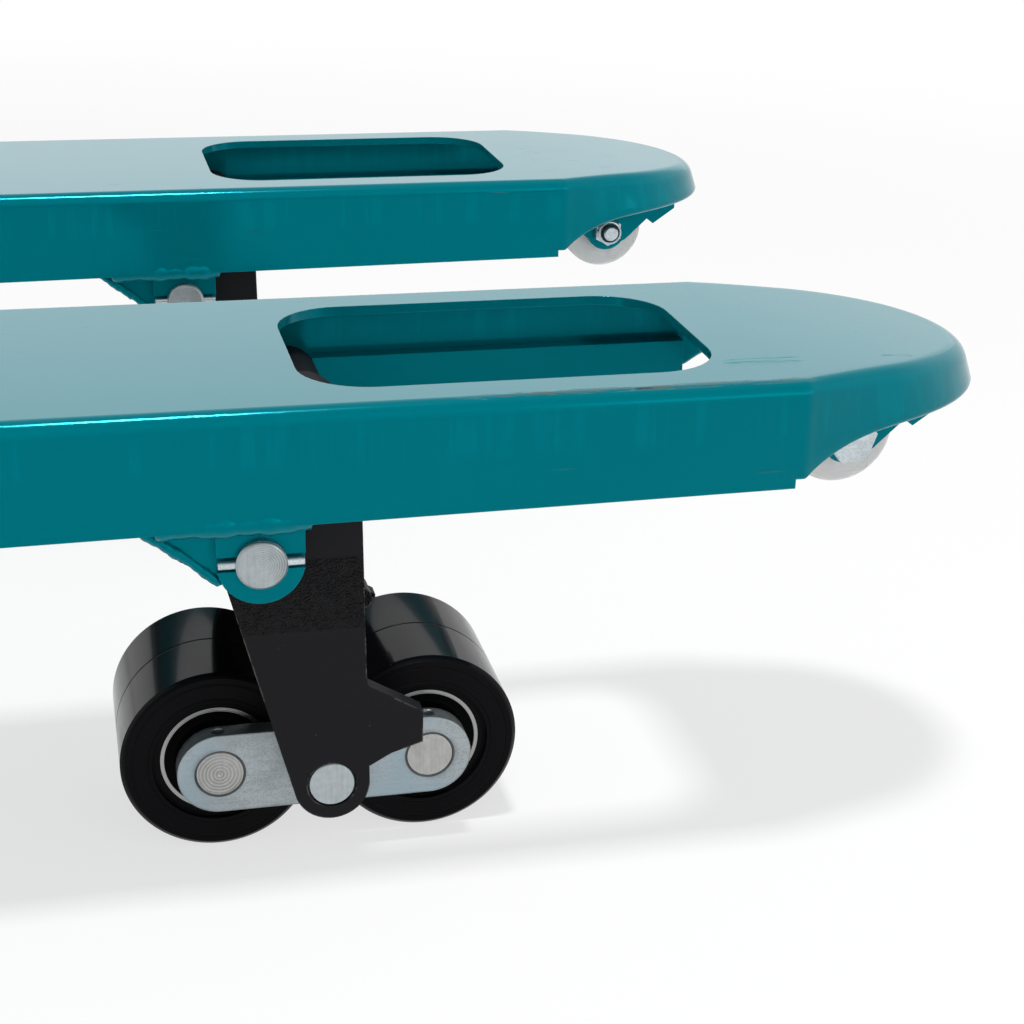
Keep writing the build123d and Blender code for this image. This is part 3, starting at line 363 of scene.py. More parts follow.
def black_finish(name, colour, edge):
    """Black paint over rolled plate: crinkled where it lies heavy below the arm's pivot, and darkened there
    as painted shade of the crinkle, with fine nicks and worn edges."""
    finish = Finish(name)
    pivot = joint_place("arm_swing_right")[2]
    primer, metal = (0.06, 0.06, 0.065, 1), (0.20, 0.19, 0.17, 1)
    crinkle_shade_band = finish.axes()[2].between(pivot - 0.036, pivot - 0.005, 0.001)
    crinkle = finish.cells(1250.0) * finish.noise(420.0)
    grain = finish.noise(240.0, 4.0)
    nicks = finish.cells(150.0).rise(0.10, 0.03) * finish.noise(22.0).rise(0.58, 0.66)
    tone = finish.mix(finish.noise(30.0), shaded(colour, 0.85), shaded(colour, 1.25))
    # painted shade: the crinkled band is darkened to stand in for the shade among its bumps
    tone = finish.mix(crinkle_shade_band * 0.6, tone, shaded(colour, 0.3))
    tone = finish.mix(nicks * 0.6, tone, primer)
    bare = finish.worn(2 * edge) * finish.noise(75.0, 5.0, rough=0.7).rise(0.47, 0.58)
    tone = finish.mix(bare * 0.85, tone, metal)
    finish.set(Base_Color=tone, Roughness=0.50 - crinkle_shade_band * 0.16 + grain * 0.10, Specular_IOR_Level=0.15)
    return finish.bump(crinkle_shade_band * crinkle * 5.0 + grain * 0.30 - nicks, 0.00035, edge)


def plated_finish(name, colour, edge, rolled, rough, sheen=None, gaps=(), gap=0.0):
    """Plated or bare steel: mottled sheen, fine scratches along the piece, rolled grain and dull edges.
    Sheen is the colour of the bluer patches of zinc. Gaps are centres of pins with a dark line round them, at
    a radius of gap: painted shade of the gap between pin and plate."""
    finish = Finish(name)
    mottle = finish.noise(65.0, 4.0)
    grain = finish.drawn(rolled, 3.0)
    scratch = finish.drawn((30.0, 900.0, 900.0), 5.0).rise(0.60, 0.68)
    spangle = finish.cells(1100.0).rise(0.2, 0.7)
    cloud = (mottle * 0.55 + grain * 0.30 + spangle * 0.15).rise(0.28, 0.68)
    tone = finish.mix(cloud, shaded(colour, 0.76), shaded(colour, 1.14))
    stain = finish.noise(24.0, 2.0).rise(0.52, 0.72)
    tone = finish.mix(stain * 0.30, tone, shaded(colour, 0.62))
    tone = finish.mix(scratch * 0.30, tone, shaded(colour, 0.66))
    if sheen:
        tone = finish.mix(finish.noise(16.0, 2.0).rise(0.46, 0.66) * 0.7, tone, sheen)
    if gaps:
        reach = finish.radius(gaps)
        # painted shade: a near-black line at the gap radius stands in for the shade in the gap round each pin
        tone = finish.mix(reach.between(gap, gap + 0.0006, 0.0003), tone, shaded(colour, 0.06))
        grime = reach.rise(gap + 0.0030, gap) * finish.noise(60.0).rise(0.40, 0.65)
        tone = finish.mix(grime * 0.5, tone, shaded(colour, 0.35))
    dull = finish.worn(edge) * finish.noise(90.0, 4.0).rise(0.42, 0.58)
    tarnish = (0.20, 0.185, 0.155, 1)
    tone = finish.mix(dull * 0.55, tone, tarnish)
    finish.set(Base_Color=tone, Metallic=0.92, Roughness=grain * 0.14 + spangle * 0.04 + rough)
    return finish.bump(grain * 0.5 + scratch * 0.4 + spangle * 0.1, 0.00008, edge)


def turned_finish(name, colour, centres, edge, depth, pitch):
    """Turned steel: rings cut round each centre, deep or faint in places, with a punched middle; the ends of
    other pins are only brushed and mottled."""
    finish = Finish(name)
    reach = finish.radius(centres)
    near = reach.rise(0.0150, 0.0120)
    wobble = finish.noise(120.0, 2.0) * 0.0006
    rings = ((reach + wobble) * (2 * math.pi / pitch)).sine() * 0.5 + 0.5
    cut = (finish.noise(30.0, 1.0).rise(0.36, 0.60) * 0.85 + 0.15) * near * depth
    brush = finish.drawn((800.0, 90.0, 60.0), 4.0)
    cloud = (brush * 0.5 + finish.noise(330.0) * 0.5).rise(0.25, 0.75)
    tone = finish.mix(cloud, shaded(colour, 0.84), shaded(colour, 1.10))
    tone = finish.mix(rings * cut, tone, shaded(colour, 0.46))
    tone = finish.mix(finish.noise(45.0, 4.0).rise(0.50, 0.75) * 0.5, tone, shaded(colour, 0.58))
    finish.set(Base_Color=tone, Metallic=0.92, Roughness=rings * near * 0.08 + 0.27)
    middle = reach.rise(0.0016, 0.0003) * depth
    return finish.bump(rings * cut - middle * 2.0 + brush * 0.2, 0.00014, edge)


def roller_finish(name, colour, centres, outer, rows, edge):
    """Moulded tread: satin faces with fine moulding rings, a shinier running face and scattered dust."""
    finish = Finish(name)
    reach = finish.radius(centres)
    tread = reach.rise(outer - 0.0016, outer - 0.0006)
    rings = 0.0
    for row in rows:
        rings = reach.between(row - 0.0003, row + 0.0003, 0.00018) + rings
    dust = finish.cells(420.0).rise(0.14, 0.05) * finish.noise(16.0).rise(0.60, 0.68)
    grey = (0.10, 0.10, 0.11, 1)
    smear = finish.drawn((26.0, 240.0, 26.0), 3.0)
    tone = finish.mix(smear, shaded(colour, 0.8), shaded(colour, 1.35))
    tone = finish.mix(dust * 0.25, tone, grey)
    finish.set(Base_Color=tone, Roughness=0.40 - tread * 0.28 + smear * 0.08, Specular_IOR_Level=0.06,
               Coat_Weight=tread * 0.15, Coat_Roughness=0.06)
    fine = (reach * 5200.0).sine() * (1 - tread) * 0.06
    return finish.bump(fine - rings, 0.00030, edge)


def bearing_finish(name, colour, centres, seal_from, seal_to):
    """Ground rings with a black rubber seal between them, pressed with a ridge."""
    finish = Finish(name)
    reach = finish.radius(centres)
    seal = reach.between(seal_from, seal_to, 0.0002)
    rubber = (0.0015, 0.0015, 0.0018, 1)
    tone = finish.mix(seal, shaded(colour, 0.8), rubber)
    finish.set(Base_Color=tone, Metallic=(1 - seal) * 0.95, Specular_IOR_Level=0.03,
               Roughness=seal * 0.30 + 0.20 + finish.noise(90.0) * 0.06)
    middle = (seal_from + seal_to) / 2
    ridge = reach.between(middle - 0.0008, middle + 0.0008, 0.0004)
    return finish.bump(ridge + (reach * 9000.0).sine() * (1 - seal) * 0.05, 0.0003)


def nylon_finish(name, colour, centres):
    """Cast nylon: waxy white with turning rings on the ends and grey scuffs."""
    finish = Finish(name)
    reach = finish.radius(centres)
    scuff = finish.noise(60.0, 4.0).rise(0.58, 0.74)
    tone = finish.mix(scuff * 0.28, colour, shaded(colour, 0.62))
    finish.set(Base_Color=tone, Roughness=scuff * 0.2 + 0.34, Subsurface_Weight=0.15, Subsurface_Scale=0.004)
    return finish.bump((reach * 5600.0).sine() * 0.3 + finish.noise(300.0) * 0.4, 0.00008)


def plastic_finish(name, colour, edge, scale):
    """Moulded plastic: leathery spark-eroded grain, with the gloss rubbed up in patches."""
    finish = Finish(name)
    grain = finish.cells(scale) * 0.6 + finish.noise(scale * 0.6, 3.0) * 0.4
    rubbed = finish.noise(14.0, 2.0).rise(0.48, 0.70)
    tone = finish.mix(finish.noise(20.0), shaded(colour, 0.85), shaded(colour, 1.25))
    finish.set(Base_Color=tone, Roughness=0.54 - rubbed * 0.16, Specular_IOR_Level=0.4)
    return finish.bump(grain * (1 - rubbed * 0.5), 0.00012, edge)


def chrome_finish(name):
    """Hard chrome: bright, with faint polishing lines round the rod and a film of oil."""
    finish = Finish(name)
    lines = finish.drawn((20.0, 20.0, 1400.0), 2.0)
    film = finish.noise(30.0, 3.0).rise(0.48, 0.72)
    bright, oily = (0.70, 0.71, 0.72, 1), (0.52, 0.52, 0.50, 1)
    tone = finish.mix(film * 0.35, bright, oily)
    finish.set(Base_Color=tone, Metallic=1.0, Roughness=film * 0.10 + 0.09)
    return finish.bump(lines, 0.00003)


FINISHES = {}


def make_finishes():
    """Every finish of the truck, once, by its name."""
    colours, sizes = bpy.context.scene.truck_colours, bpy.context.scene.truck_sizes
    edge = sizes.bevel
    axles = [joint_place(f"load_spin_right_{end}")[[0, 2]] for end in ("rear", "front")]
    pivot, rod, steer, tiller, entry = (
        joint_place(name)[[0, 2]] for name in
        ("arm_swing_right", "rod_turn_right", "steer_spin_right", "tiller_swing", "entry_spin_right"))
    long_grain, tall_grain = (60.0, 700.0, 700.0), (700.0, 700.0, 60.0)
    sheen = (0.285, 0.380, 0.435, 1.0)
    fine = edge / 3
    made = [
        paint_finish("fork_paint", colours.paint, colours.scrape, edge, worn=True),
        paint_finish("pump_paint", colours.paint, colours.scrape, 2 * edge, worn=False),
        black_finish("black_paint", colours.black, edge),
        plated_finish("zinc_plate", colours.zinc, 2 * edge, long_grain, rough=0.27, sheen=sheen, gaps=axles,
                      gap=0.0100),
        plated_finish("fasteners", shaded(colours.zinc, 1.68), fine, long_grain, rough=0.22,
                      sheen=shaded(sheen, 1.68)),
        plated_finish("set_screw", shaded(colours.steel, 0.2), fine, long_grain, rough=0.30),
        plated_finish("rod_steel", colours.steel, fine, tall_grain, rough=0.26),
        plated_finish("thrust_washer", colours.steel, fine, long_grain, rough=0.24),
        plated_finish("hub_iron", colours.iron, edge, (260.0, 260.0, 260.0), rough=0.42),
        turned_finish("turned_steel", colours.steel, [axles[0], rod, steer, tiller], fine, depth=1.0,
                      pitch=0.00145),
        turned_finish("pin_zinc", shaded(colours.zinc, 1.20), [pivot], fine, depth=0.75, pitch=0.00095),
        roller_finish("load_tread", colours.rubber, axles, outer=0.040, rows=(0.0285, 0.0352), edge=edge),
        roller_finish("steer_tread", colours.rubber, [steer], outer=0.090, rows=(0.0700, 0.0790), edge=edge),
        bearing_finish("load_bearing", colours.steel, axles, seal_from=0.0135, seal_to=0.0219),
        bearing_finish("steer_bearing", colours.steel, [steer], seal_from=0.0155, seal_to=0.0230),
        nylon_finish("entry_nylon", colours.nylon, [entry]),
        plastic_finish("handle_plastic", colours.plastic, edge, scale=700.0),
        plastic_finish("lever_plastic", shaded(colours.plastic, 1.6), edge, scale=500.0),
        plastic_finish("grip_rubber", shaded(colours.plastic, 0.75), edge / 2, scale=1100.0),
        plastic_finish("nut_insert", colours.insert, fine, scale=1500.0),
        chrome_finish("piston_chrome"),
    ]
    FINISHES.update({finish.name: finish.material for finish in made})


def node_finish(node, slot):
    """The finish a solid wears: its slot's own, or a closer one for pieces that share a slot."""
    closer = {"load_roller": "load_tread", "steer_tyre": "steer_tread", "load_bearings": "load_bearing",
              "steer_bearings": "steer_bearing", "thrust_bearing": "thrust_washer",
              "release_rod": "rod_steel", "arm_pivot_pins": "pin_zinc", "axle_set_pins": "set_screw",
              "rocker_pins": "pin_zinc"}
    for start, name in closer.items():
        if node.startswith(start):
            return FINISHES[name]
    return FINISHES[slot]


def grid_faces(rows, columns, wrap):
    """Quads of a grid of points stored row by row; wrap joins the last column to the first."""
    index = np.arange(rows * columns).reshape(rows, columns)
    if wrap:
        index = np.column_stack((index, index[:, 0]))
    corners = (index[:-1, :-1], index[:-1, 1:], index[1:, 1:], index[1:, :-1])
    return np.stack(corners, axis=-1).reshape(-1, 4)


def add_piece(name, grids, body, slot, finish=None, sharp=math.radians(35)):
    """Make one mesh of several grids of (points, faces), merge its poles, cap what is open and let it ride on
    a body. It wears its slot's finish unless another is named."""
    points = [own.reshape(-1, 3) for own, _ in grids]
    starts = np.cumsum([0] + [len(own) for own in points])
    faces = [own + start for (_, own), start in zip(grids, starts)]
    mesh = bpy.data.meshes.new(name)
    mesh.from_pydata(np.concatenate(points), [], np.concatenate(faces))
    work = bmesh.new()
    work.from_mesh(mesh)
    bmesh.ops.remove_doubles(work, verts=work.verts, dist=MERGE)
    bmesh.ops.holes_fill(work, edges=[edge for edge in work.edges if edge.is_boundary], sides=0)
    bmesh.ops.recalc_face_normals(work, faces=work.faces)
    work.to_mesh(mesh)
    work.free()
    mesh.shade_smooth()
    mesh.set_sharp_from_angle(angle=sharp)
    mesh.materials.append(FINISHES[finish or slot])
    piece = bpy.data.objects.new(name, mesh)
    bpy.context.scene.collection.objects.link(piece)
    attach(piece, body)
    return piece


def across(direction):
    """A direction's unit vector and two more, square to it and to each other."""
    along = np.array(direction, float) / np.linalg.norm(direction)
    helper = (0, 0, 1) if abs(along[2]) < 0.9 else (1, 0, 0)
    first = np.cross(helper, along)
    first /= np.linalg.norm(first)
    return along, first, np.cross(along, first)


def turned(place, direction, profile, steps=48, sides=0, spin=0.0):
    """Profile carried round a line: place + height along + radius round it, its rows (radius, height, flat).
    With sides, the radius of a row with flat 1 is divided by the cosine of the angle from the nearest flat,
    which makes a hexagon. Spin turns the whole about its line."""
    along, first, second = across(direction)
    angle = np.linspace(0, 2 * np.pi, steps, endpoint=False)
    stretch = np.ones_like(angle)
    if sides:
        stretch = 1 / np.cos((angle + np.pi / sides) % (2 * np.pi / sides) - np.pi / sides)
    radius, height, flat = (np.array(column, float)[:, None] for column in zip(*profile))
    reach = radius * (1 + (stretch[None] - 1) * flat)
    angle = angle + spin
    round_it = np.cos(angle)[:, None] * first + np.sin(angle)[:, None] * second
    points = np.array(place) + height[..., None] * along + reach[..., None] * round_it[None]
    return points, grid_faces(len(profile), steps, True)


def scaled(rows, radius, height):
    """Rows of a profile that are given in shares of a radius and a height."""
    return [(across * radius, up * height, flat) for across, up, flat in rows]


def hex_bolt(place, direction, flat, height):
    """Hexagon head with a chamfered top on a washer."""
    washer, rim = 0.18 * flat, 1.45 * flat
    rows = ((0, 0, 0), (rim, 0, 0), (rim, washer, 0), (flat, washer, 1),
            (flat, washer + 0.82 * height, 1), (0.94 * flat, washer + height, 0), (0, washer + height, 0))
    return turned(place, direction, rows, sides=6)


def shoulder_bolt(place, direction, height, grip, sizes):
    """Hexagon head with a chamfered top, a shoulder as long as the grip and a thinner threaded end."""
    head, shank, thread, chamfer = sizes.entry_head, sizes.shank, sizes.thread, 0.0007
    seat = height + grip
    tip = seat + sizes.thread_end
    rows = ((0, 0, 0), (0.93 * head, 0, 0), (head, 0.16 * height, 1), (head, height, 1), (shank, height, 0),
            (shank, seat, 0), (thread, seat, 0), (thread, tip - chamfer, 0), (thread - chamfer, tip, 0),
            (0, tip, 0))
    return turned(place, direction, rows, sides=6, spin=sizes.head_turn)


def lock_nut(place, direction, sizes):
    """Hexagon with a round collar rolled in over a recess, closed along its bore."""
    bore, height = sizes.thread, sizes.nut_height
    rows = ((0.92, 0, 0), (1, 0.07, 1), (1, 0.56, 1), (0.95, 0.64, 0), (0.95, 0.90, 0), (0.90, 0.98, 0),
            (0.83, 1, 0), (0.77, 0.97, 0), (0.76, 0.84, 0))
    rows = scaled(rows, sizes.entry_nut, height)
    rows = [(bore, 0, 0), *rows, (bore, 0.84 * height, 0), (bore, 0, 0)]
    return turned(place, direction, rows, sides=6)


def lock_ring(place, direction, sizes):
    """Locking ring in a nut's collar, with a crowned face."""
    bore, rim = sizes.thread, 0.77 * sizes.entry_nut
    foot, edge, crown = (share * sizes.nut_height for share in (0.80, 0.91, 0.94))
    rows = ((bore, foot, 0), (rim, foot, 0), (rim, edge, 0), ((bore + rim) / 2, crown, 0), (bore, edge, 0),
            (bore, foot, 0))
    return turned(place, direction, rows)


def plug(place, direction, radius, height):
    """Round plug with a collar and a dished top."""
    rows = ((0, 0, 0), (1.2, 0, 0), (1.2, 0.2, 0), (1, 0.25, 0), (1, 0.88, 0), (0.88, 1, 0), (0.5, 1, 0),
            (0.42, 0.8, 0), (0, 0.8, 0))
    return turned(place, direction, scaled(rows, radius, height), steps=40)


def weld(start, end, size, pitch, phase=0.0, broad=1.0):
    """Bead along a line: a round section whose radius swells with each ripple and tapers at both ends.
    A broad bead is that much wider than high. At a length of s ripples
    radius = size * taper * (0.86 + 0.14 |sin(pi s)| + 0.08 sin(2.3 s + phase))"""
    start, end = np.array(start, float), np.array(end, float)
    along, first, second = across(end - start)
    length = np.linalg.norm(end - start)
    t = np.linspace(0, 1, max(12, int(length / pitch * 4)))
    run = t * length / pitch
    taper = np.sqrt(np.clip(1 - np.abs(2 * t - 1) ** (2 * length / (size * broad ** 2)), 0, 1))
    radius = size * taper * (0.86 + 0.14 * np.abs(np.sin(np.pi * run)) + 0.08 * np.sin(2.3 * run + phase))
    sway = size * 0.12 * np.sin(0.9 * run + phase)
    angle = np.linspace(0, 2 * np.pi, 10, endpoint=False)
    round_it = np.cos(angle)[:, None] * first + broad * np.sin(angle)[:, None] * second
    centre = start + np.outer(t * length, along) + np.outer(sway, first)
    points = centre[:, None] + radius[:, None, None] * round_it[None]
    return points, grid_faces(len(t), len(angle), True)


def nose_outline(length, half, sizes):
    """Plan of one side of the nose from the weld to the tip: distances ahead and across, and the normals.
    First a taper, across = half - slope * (ahead - fold * (1 - exp(-ahead / fold))), which leaves the
    channel's side gently, then a quarter of an ellipse that starts where its slope is the taper's. The ground
    weld leaves a ridge of ridge * exp(-(ahead / ridge_width - 1.5)^2) on the taper."""
    slope, fold, cap = math.tan(sizes.taper), sizes.fold, sizes.cap
    reach = half + slope * fold - slope * (length - cap)
    start = math.acos(slope * cap / reach)
    wide = slope * cap * math.tan(start)
    run = (length - cap + cap * math.cos(start)) * np.linspace(0, 1, 28) ** 1.6
    turn = 1 - np.exp(-run / fold)
    angle = np.linspace(start, 0, 49)[1:]
    ahead = np.concatenate((run, length - cap + cap * np.cos(angle)))
    ridge = sizes.ridge * np.exp(-(run / sizes.ridge_width - 1.5) ** 2)
    beside = np.concatenate((half - slope * (run - fold * turn) + ridge, wide * np.sin(angle)))
    normal = np.concatenate((np.column_stack((slope * turn, np.ones_like(run))),
                             np.column_stack((np.cos(angle) / cap, np.sin(angle) / wide))))
    return ahead, beside, normal / np.linalg.norm(normal, axis=1)[:, None]


def nose_shell(node, sizes):
    """Pressed nose: its outline carried down a rounded, leaning wall and back up inside.
    The top falls as the square of the distance ahead. A profile point is drawn in along the outline's normal
    by its inset and set at its height: an arc of the edge's radius to the wall's lean, the wall to the rim, a
    rounded lip, and the same a sheet's thickness inside. Radius and lean grow from the weld to the tip, and
    the rim climbs as 1 - exp(-ahead / climb). Behind the weld the shell sinks below the channel's face."""
    low, high = node_box(node)
    length, half = high[0] - low[0] - sizes.shy, (high[1] - low[1]) / 2
    ahead, beside, normal = nose_outline(length, half, sizes)
    ahead = np.concatenate(((-OVERLAP, -0.2 * OVERLAP), ahead))
    beside = np.pad(beside, (2, 0), mode="edge")
    normal = np.pad(normal, ((2, 0), (0, 0)), mode="edge")
    sink = np.full(len(ahead), -LAP_RISE)
    sink[0] = 3 * LAP_RISE
    sheet = np.full(len(ahead), sizes.sheet)
    sheet[:2] -= 4 * LAP_RISE

    def crown(place):
        return high[2] - sizes.dip * (np.clip(place, 0, None) / length) ** 2

    share = np.clip(ahead / (0.8 * length), 0, 1)
    grow = share * share * (3 - 2 * share)
    radius = sizes.bend + (sizes.tip_round - sizes.bend) * grow
    lean = sizes.flare * grow
    lip_weld, lip_gain = 0.0012, 0.0014
    lip = lip_weld + lip_gain * grow
    climb = np.exp(-np.clip(ahead - 1.5 * sizes.fold, 0, None) / sizes.rim_climb)
    rim = high[2] - sizes.rim_high - (sizes.rim_low - sizes.rim_high) * climb
    wide = radius
    for _ in range(3):
        top = crown(ahead - normal[:, 0] * wide)
        drop = top - rim - lip
        wide = radius * np.cos(lean) + (drop - radius * (1 - np.sin(lean))) * np.tan(lean)
    inner = radius - sheet
    bend, wall = np.linspace(0, 1, 13), np.linspace(0, 1, 6)[1:]
    curl = np.linspace(0, np.pi / 2, 5)[1:]
    turn = np.pi / 2 - lean
    rows = [(wide - radius * np.sin(b * turn), top - sink - radius * (1 - np.cos(b * turn))) for b in bend]
    foot, foot_height = rows[-1]
    rows += [(foot * (1 - w), foot_height * (1 - w) + (rim + lip) * w) for w in wall]
    rows += [(lip * (1 - np.cos(c)), rim + lip * (1 - np.sin(c))) for c in curl]
    rows = [(inset + sink, height) for inset, height in rows]
    lip_inside = ((0.001, 0.0002), (0.0, 0.0015))
    rows += [(sheet - inset, rim + rise) for inset, rise in lip_inside]
    rows += [(wide - inner * np.sin(b * turn), top - radius + inner * np.cos(b * turn)) for b in bend[::-1]]
    shell = np.stack([np.column_stack((ahead - normal[:, 0] * inset, beside - normal[:, 1] * inset, height))
                      for inset, height in rows])
    spread = np.array((0.0, 0.2, 0.4, 0.55, 0.7, 0.8, 0.9, 0.96))[:, None]
    sheets = []
    for edge, depth in ((shell[0], sink), (shell[-1], sheet)):
        back = np.minimum(edge[:, 0], 0)
        place = back + (edge[:, 0] - back) * spread
        sheets.append(np.stack((place, edge[:, 1] * spread, crown(place) - depth), axis=-1))
    points = np.concatenate((sheets[0], shell, sheets[1][::-1]))
    points = np.concatenate((points * (1, -1, 1), points[:, -2::-1]), axis=1)
    points += (low[0], (low[1] + high[1]) / 2, 0)
    return points, grid_faces(len(points), points.shape[1], False)


class TRUCK_OT_solids(bpy.types.Operator):
    """Give every solid of the truck its finish"""

    bl_idname = "truck.solids"
    bl_label = "Solids"

    def execute(self, context):
        make_finishes()
        for row in frame["record"]["subparts"]:
            solid = frame["nodes"][row["node"]]
            solid.data.materials.clear()
            solid.data.materials.append(node_finish(row["node"], row["material_slot"]))
        return {"FINISHED"}


class TRUCK_OT_noses(bpy.types.Operator):
    """Pressed noses with an edge that grows rounder to the tip"""

    bl_idname = "truck.noses"
    bl_label = "Fork noses"

    def execute(self, context):
        for side in SIDES:
            node = f"fork_nose_{side}"
            grid = nose_shell(node, context.scene.truck_sizes)
            piece = add_piece(f"pressed_nose_{side}", [grid], "chassis", "fork_paint")
            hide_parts(node)
        return {"FINISHED"}


class TRUCK_OT_entry_bolts(bpy.types.Operator):
    """Hexagon bolts of the entry rollers and their lock nuts"""

    bl_idname = "truck.entry_bolts"
    bl_label = "Entry bolts"

    def execute(self, context):
        sizes = context.scene.truck_sizes
        bolt_end, nut_seat = node_box("entry_roller_bolts")[1][1], node_box("entry_roller_nuts")[1][1]
        bolts, nuts, rings = [], [], []
        for side in SIDES:
            centre = joint_place(f"entry_spin_{side}")
            inward = np.array((0, -np.sign(centre[1]), 0))
            reach = abs(centre[1])
            seat, top = reach - nut_seat, bolt_end - reach
            bolts.append(shoulder_bolt(centre - top * inward, inward, top - seat, 2 * seat, sizes))
            nut = centre + seat * inward
            nuts.append(lock_nut(nut, inward, sizes))
            rings.append(lock_ring(nut, inward, sizes))
        made = add_piece("entry_bolts", bolts, "chassis", "fasteners")
        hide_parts("entry_roller_bolts")
        made = add_piece("lock_nuts", nuts, "chassis", "fasteners")
        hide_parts("entry_roller_nuts")
        add_piece("lock_rings", rings, "chassis", "handle_plastic", "nut_insert")
        return {"FINISHED"}


class TRUCK_OT_welds(bpy.types.Operator):
    """Weld beads under the forks, at the heel plate and on the head frame"""

    bl_idname = "truck.welds"
    bl_label = "Welds"

    def execute(self, context):
        sizes = context.scene.truck_sizes
        beads = [bead for number, side in enumerate(SIDES)
                 for bead in self.fork_beads(number, side, sizes.bead, sizes.ripple)]
        beads += self.head_beads(sizes.bead, sizes.ripple)
        add_piece("weld_beads", beads, "chassis", "fork_paint", sharp=math.radians(60))
        return {"FINISHED"}

    @staticmethod
    def fork_beads(number, side, size, pitch):
        """Beads of one fork: over and along each pivot bracket, and round the channel at the heel plate.
        Bracket beads are given as distances ahead of the pivot and below the channel's foot."""
        low, high = node_box(f"fork_{side}")
        pivot, foot = joint_place("arm_swing_right")[0], node_box("fork_rails")[0][2]
        heel, top = low[0], high[2]
        corner, drop = 0.008, 0.050

        def bracket(y, start, end, *shape):
            ends = [(pivot + ahead, y, foot - below) for ahead, below in (start, end)]
            return weld(*ends, *shape)

        beads = []
        for wall, sign in ((low[1], 1), (high[1], -1)):
            over, beside = wall + sign * 0.0038, wall + sign * 0.0078
            long, short = 2.6 * pitch, 1.4 * pitch
            beads += [
                bracket(over, (-0.041, 0.0010), (0.021, 0.0010), 1.08 * size, long, number + wall, 1.2),
                bracket(beside, (-0.0475, 0.0005), (-0.0275, 0.0160), 0.6 * size, short, 9 * wall),
                bracket(beside, (-0.0325, 0.0115), (-0.0150, 0.0270), 0.52 * size, short, 5 * wall + number),
                weld((heel, wall, top - drop), (heel, wall, top - corner), size, pitch, wall),
            ]
        beads.append(weld((heel, low[1] + corner, top), (heel, high[1] - corner, top), size, pitch))
        return beads

    @staticmethod
    def head_beads(size, pitch):
        """Upright beads of the head frame on the heel plate, and of the crank's lugs behind it."""
        low, high = node_box("head_frame")
        heel, crank = node_box("heel_plate")[1], joint_place("crank_turn")
        end, inset = 0.004, 0.0005
        back, lug, lug_bead = heel[0] - 0.0102, 0.044, 0.003
        lug_foot, lug_top = crank[2] - 0.055, crank[2] + 0.028

        def upright(x, y, bottom, top, radius, phase):
            return weld((x, y, bottom), (x, y, top), radius, pitch, phase)

        beads = [upright(high[0], sign * (high[1] - inset), low[2] + end, heel[2] - end, size, sign)
                 for sign in (1, -1)]
        for side in SIDES:
            centre = joint_place(f"arm_swing_{side}")[1]
            beads += [upright(back, centre + sign * lug, lug_foot, lug_top, lug_bead, sign)
                      for sign in (1, -1)]
        return beads


class TRUCK_OT_pump_fittings(bpy.types.Operator):
    """Filler plug, valve caps and bolts of the pump"""

    bl_idname = "truck.pump_fittings"
    bl_label = "Pump fittings"

    def execute(self, context):
        bolt = context.scene.truck_sizes.bolt
        low, high = node_box("oil_tank")
        x = joint_place("steer")[0]
        up, left, right, ahead = (0, 0, 1), (0, 1, 0), (0, -1, 0), (1, 0, 0)
        sunk = 0.0005
        middle, face, filler = low[2] - 0.030, 0.0515, 0.036
        fittings = [
            plug((x + filler, filler, high[2] - sunk), up, radius=0.0075, height=0.008),
            hex_bolt((x, face, middle), left, bolt, height=0.009),
            hex_bolt((x, -face, middle), right, 0.8 * bolt, height=0.008),
            hex_bolt((x + face, 0, middle), ahead, 0.7 * bolt, height=0.007),
        ]
        add_piece("pump_plugs", fittings, "pump_unit", "fasteners")
        crown = node_box("head_frame")[1][2]
        cap = hex_bolt((x + 0.012, 0, crown - sunk), up, 0.8 * bolt, height=0.007)
        add_piece("head_bolt", [cap], "chassis", "fasteners")
        return {"FINISHED"}


class TRUCK_OT_handle_grips(bpy.types.Operator):
    """Ribbed sleeves on both sides of the handle and the bolts of the tiller"""

    bl_idname = "truck.handle_grips"
    bl_label = "Handle grips"

    def execute(self, context):
        sizes = context.scene.truck_sizes
        hinge, lever = joint_place("tiller_swing"), joint_place("control_tilt")
        along = (lever - hinge) / np.linalg.norm(lever - hinge)
        sleeves = [part for sign in (1, -1) for part in self.sleeve(hinge, along, sign, sizes)]
        add_piece("handle_grips", sleeves, "tiller", "handle_plastic", "grip_rubber")

        def side_bolt(rise, sign, face, flat, height):
            return hex_bolt(hinge + along * rise + (0, sign * face, 0), (0, sign, 0), flat, height)

        bolts = [side_bolt(rise, sign, face=0.0245, flat=0.0066, height=0.0055)
                 for rise in (0.090, 0.115) for sign in (1, -1)]
        bolts.append(side_bolt(0.680, 1, face=0.0235, flat=0.0055, height=0.005))
        add_piece("tiller_bolts", bolts, "tiller", "fasteners")
        return {"FINISHED"}

    @staticmethod
    def sleeve(hinge, along, sign, sizes):
        """One sleeve on a leaning side bar of the handle: its ribbed outside and its bore.
        radius = bar + grip + rib * clip(sin(2 pi height / pitch), -0.2, 1)"""
        base, rise, foot, head = 0.735, 0.130, 0.066, 0.102
        bar, bore, rib, pitch = 0.0142, 0.0139, 0.0006, 0.0056
        start = hinge + along * base + (0, sign * foot, 0)
        run = hinge + along * (base + rise) + (0, sign * head, 0) - start
        height = np.linspace(0.27, 0.73, 93) * np.linalg.norm(run)
        radius = bar + sizes.grip + rib * np.clip(np.sin(height * 2 * np.pi / pitch), -0.2, 1)
        inner = [(bore, height[0], 0), (bore, height[-1], 0)]
        outer = [(r, h, 0) for r, h in zip(radius, height)]
        return [turned(start, run, rows, steps=40) for rows in (inner[:1] + outer + inner[1:], inner)]


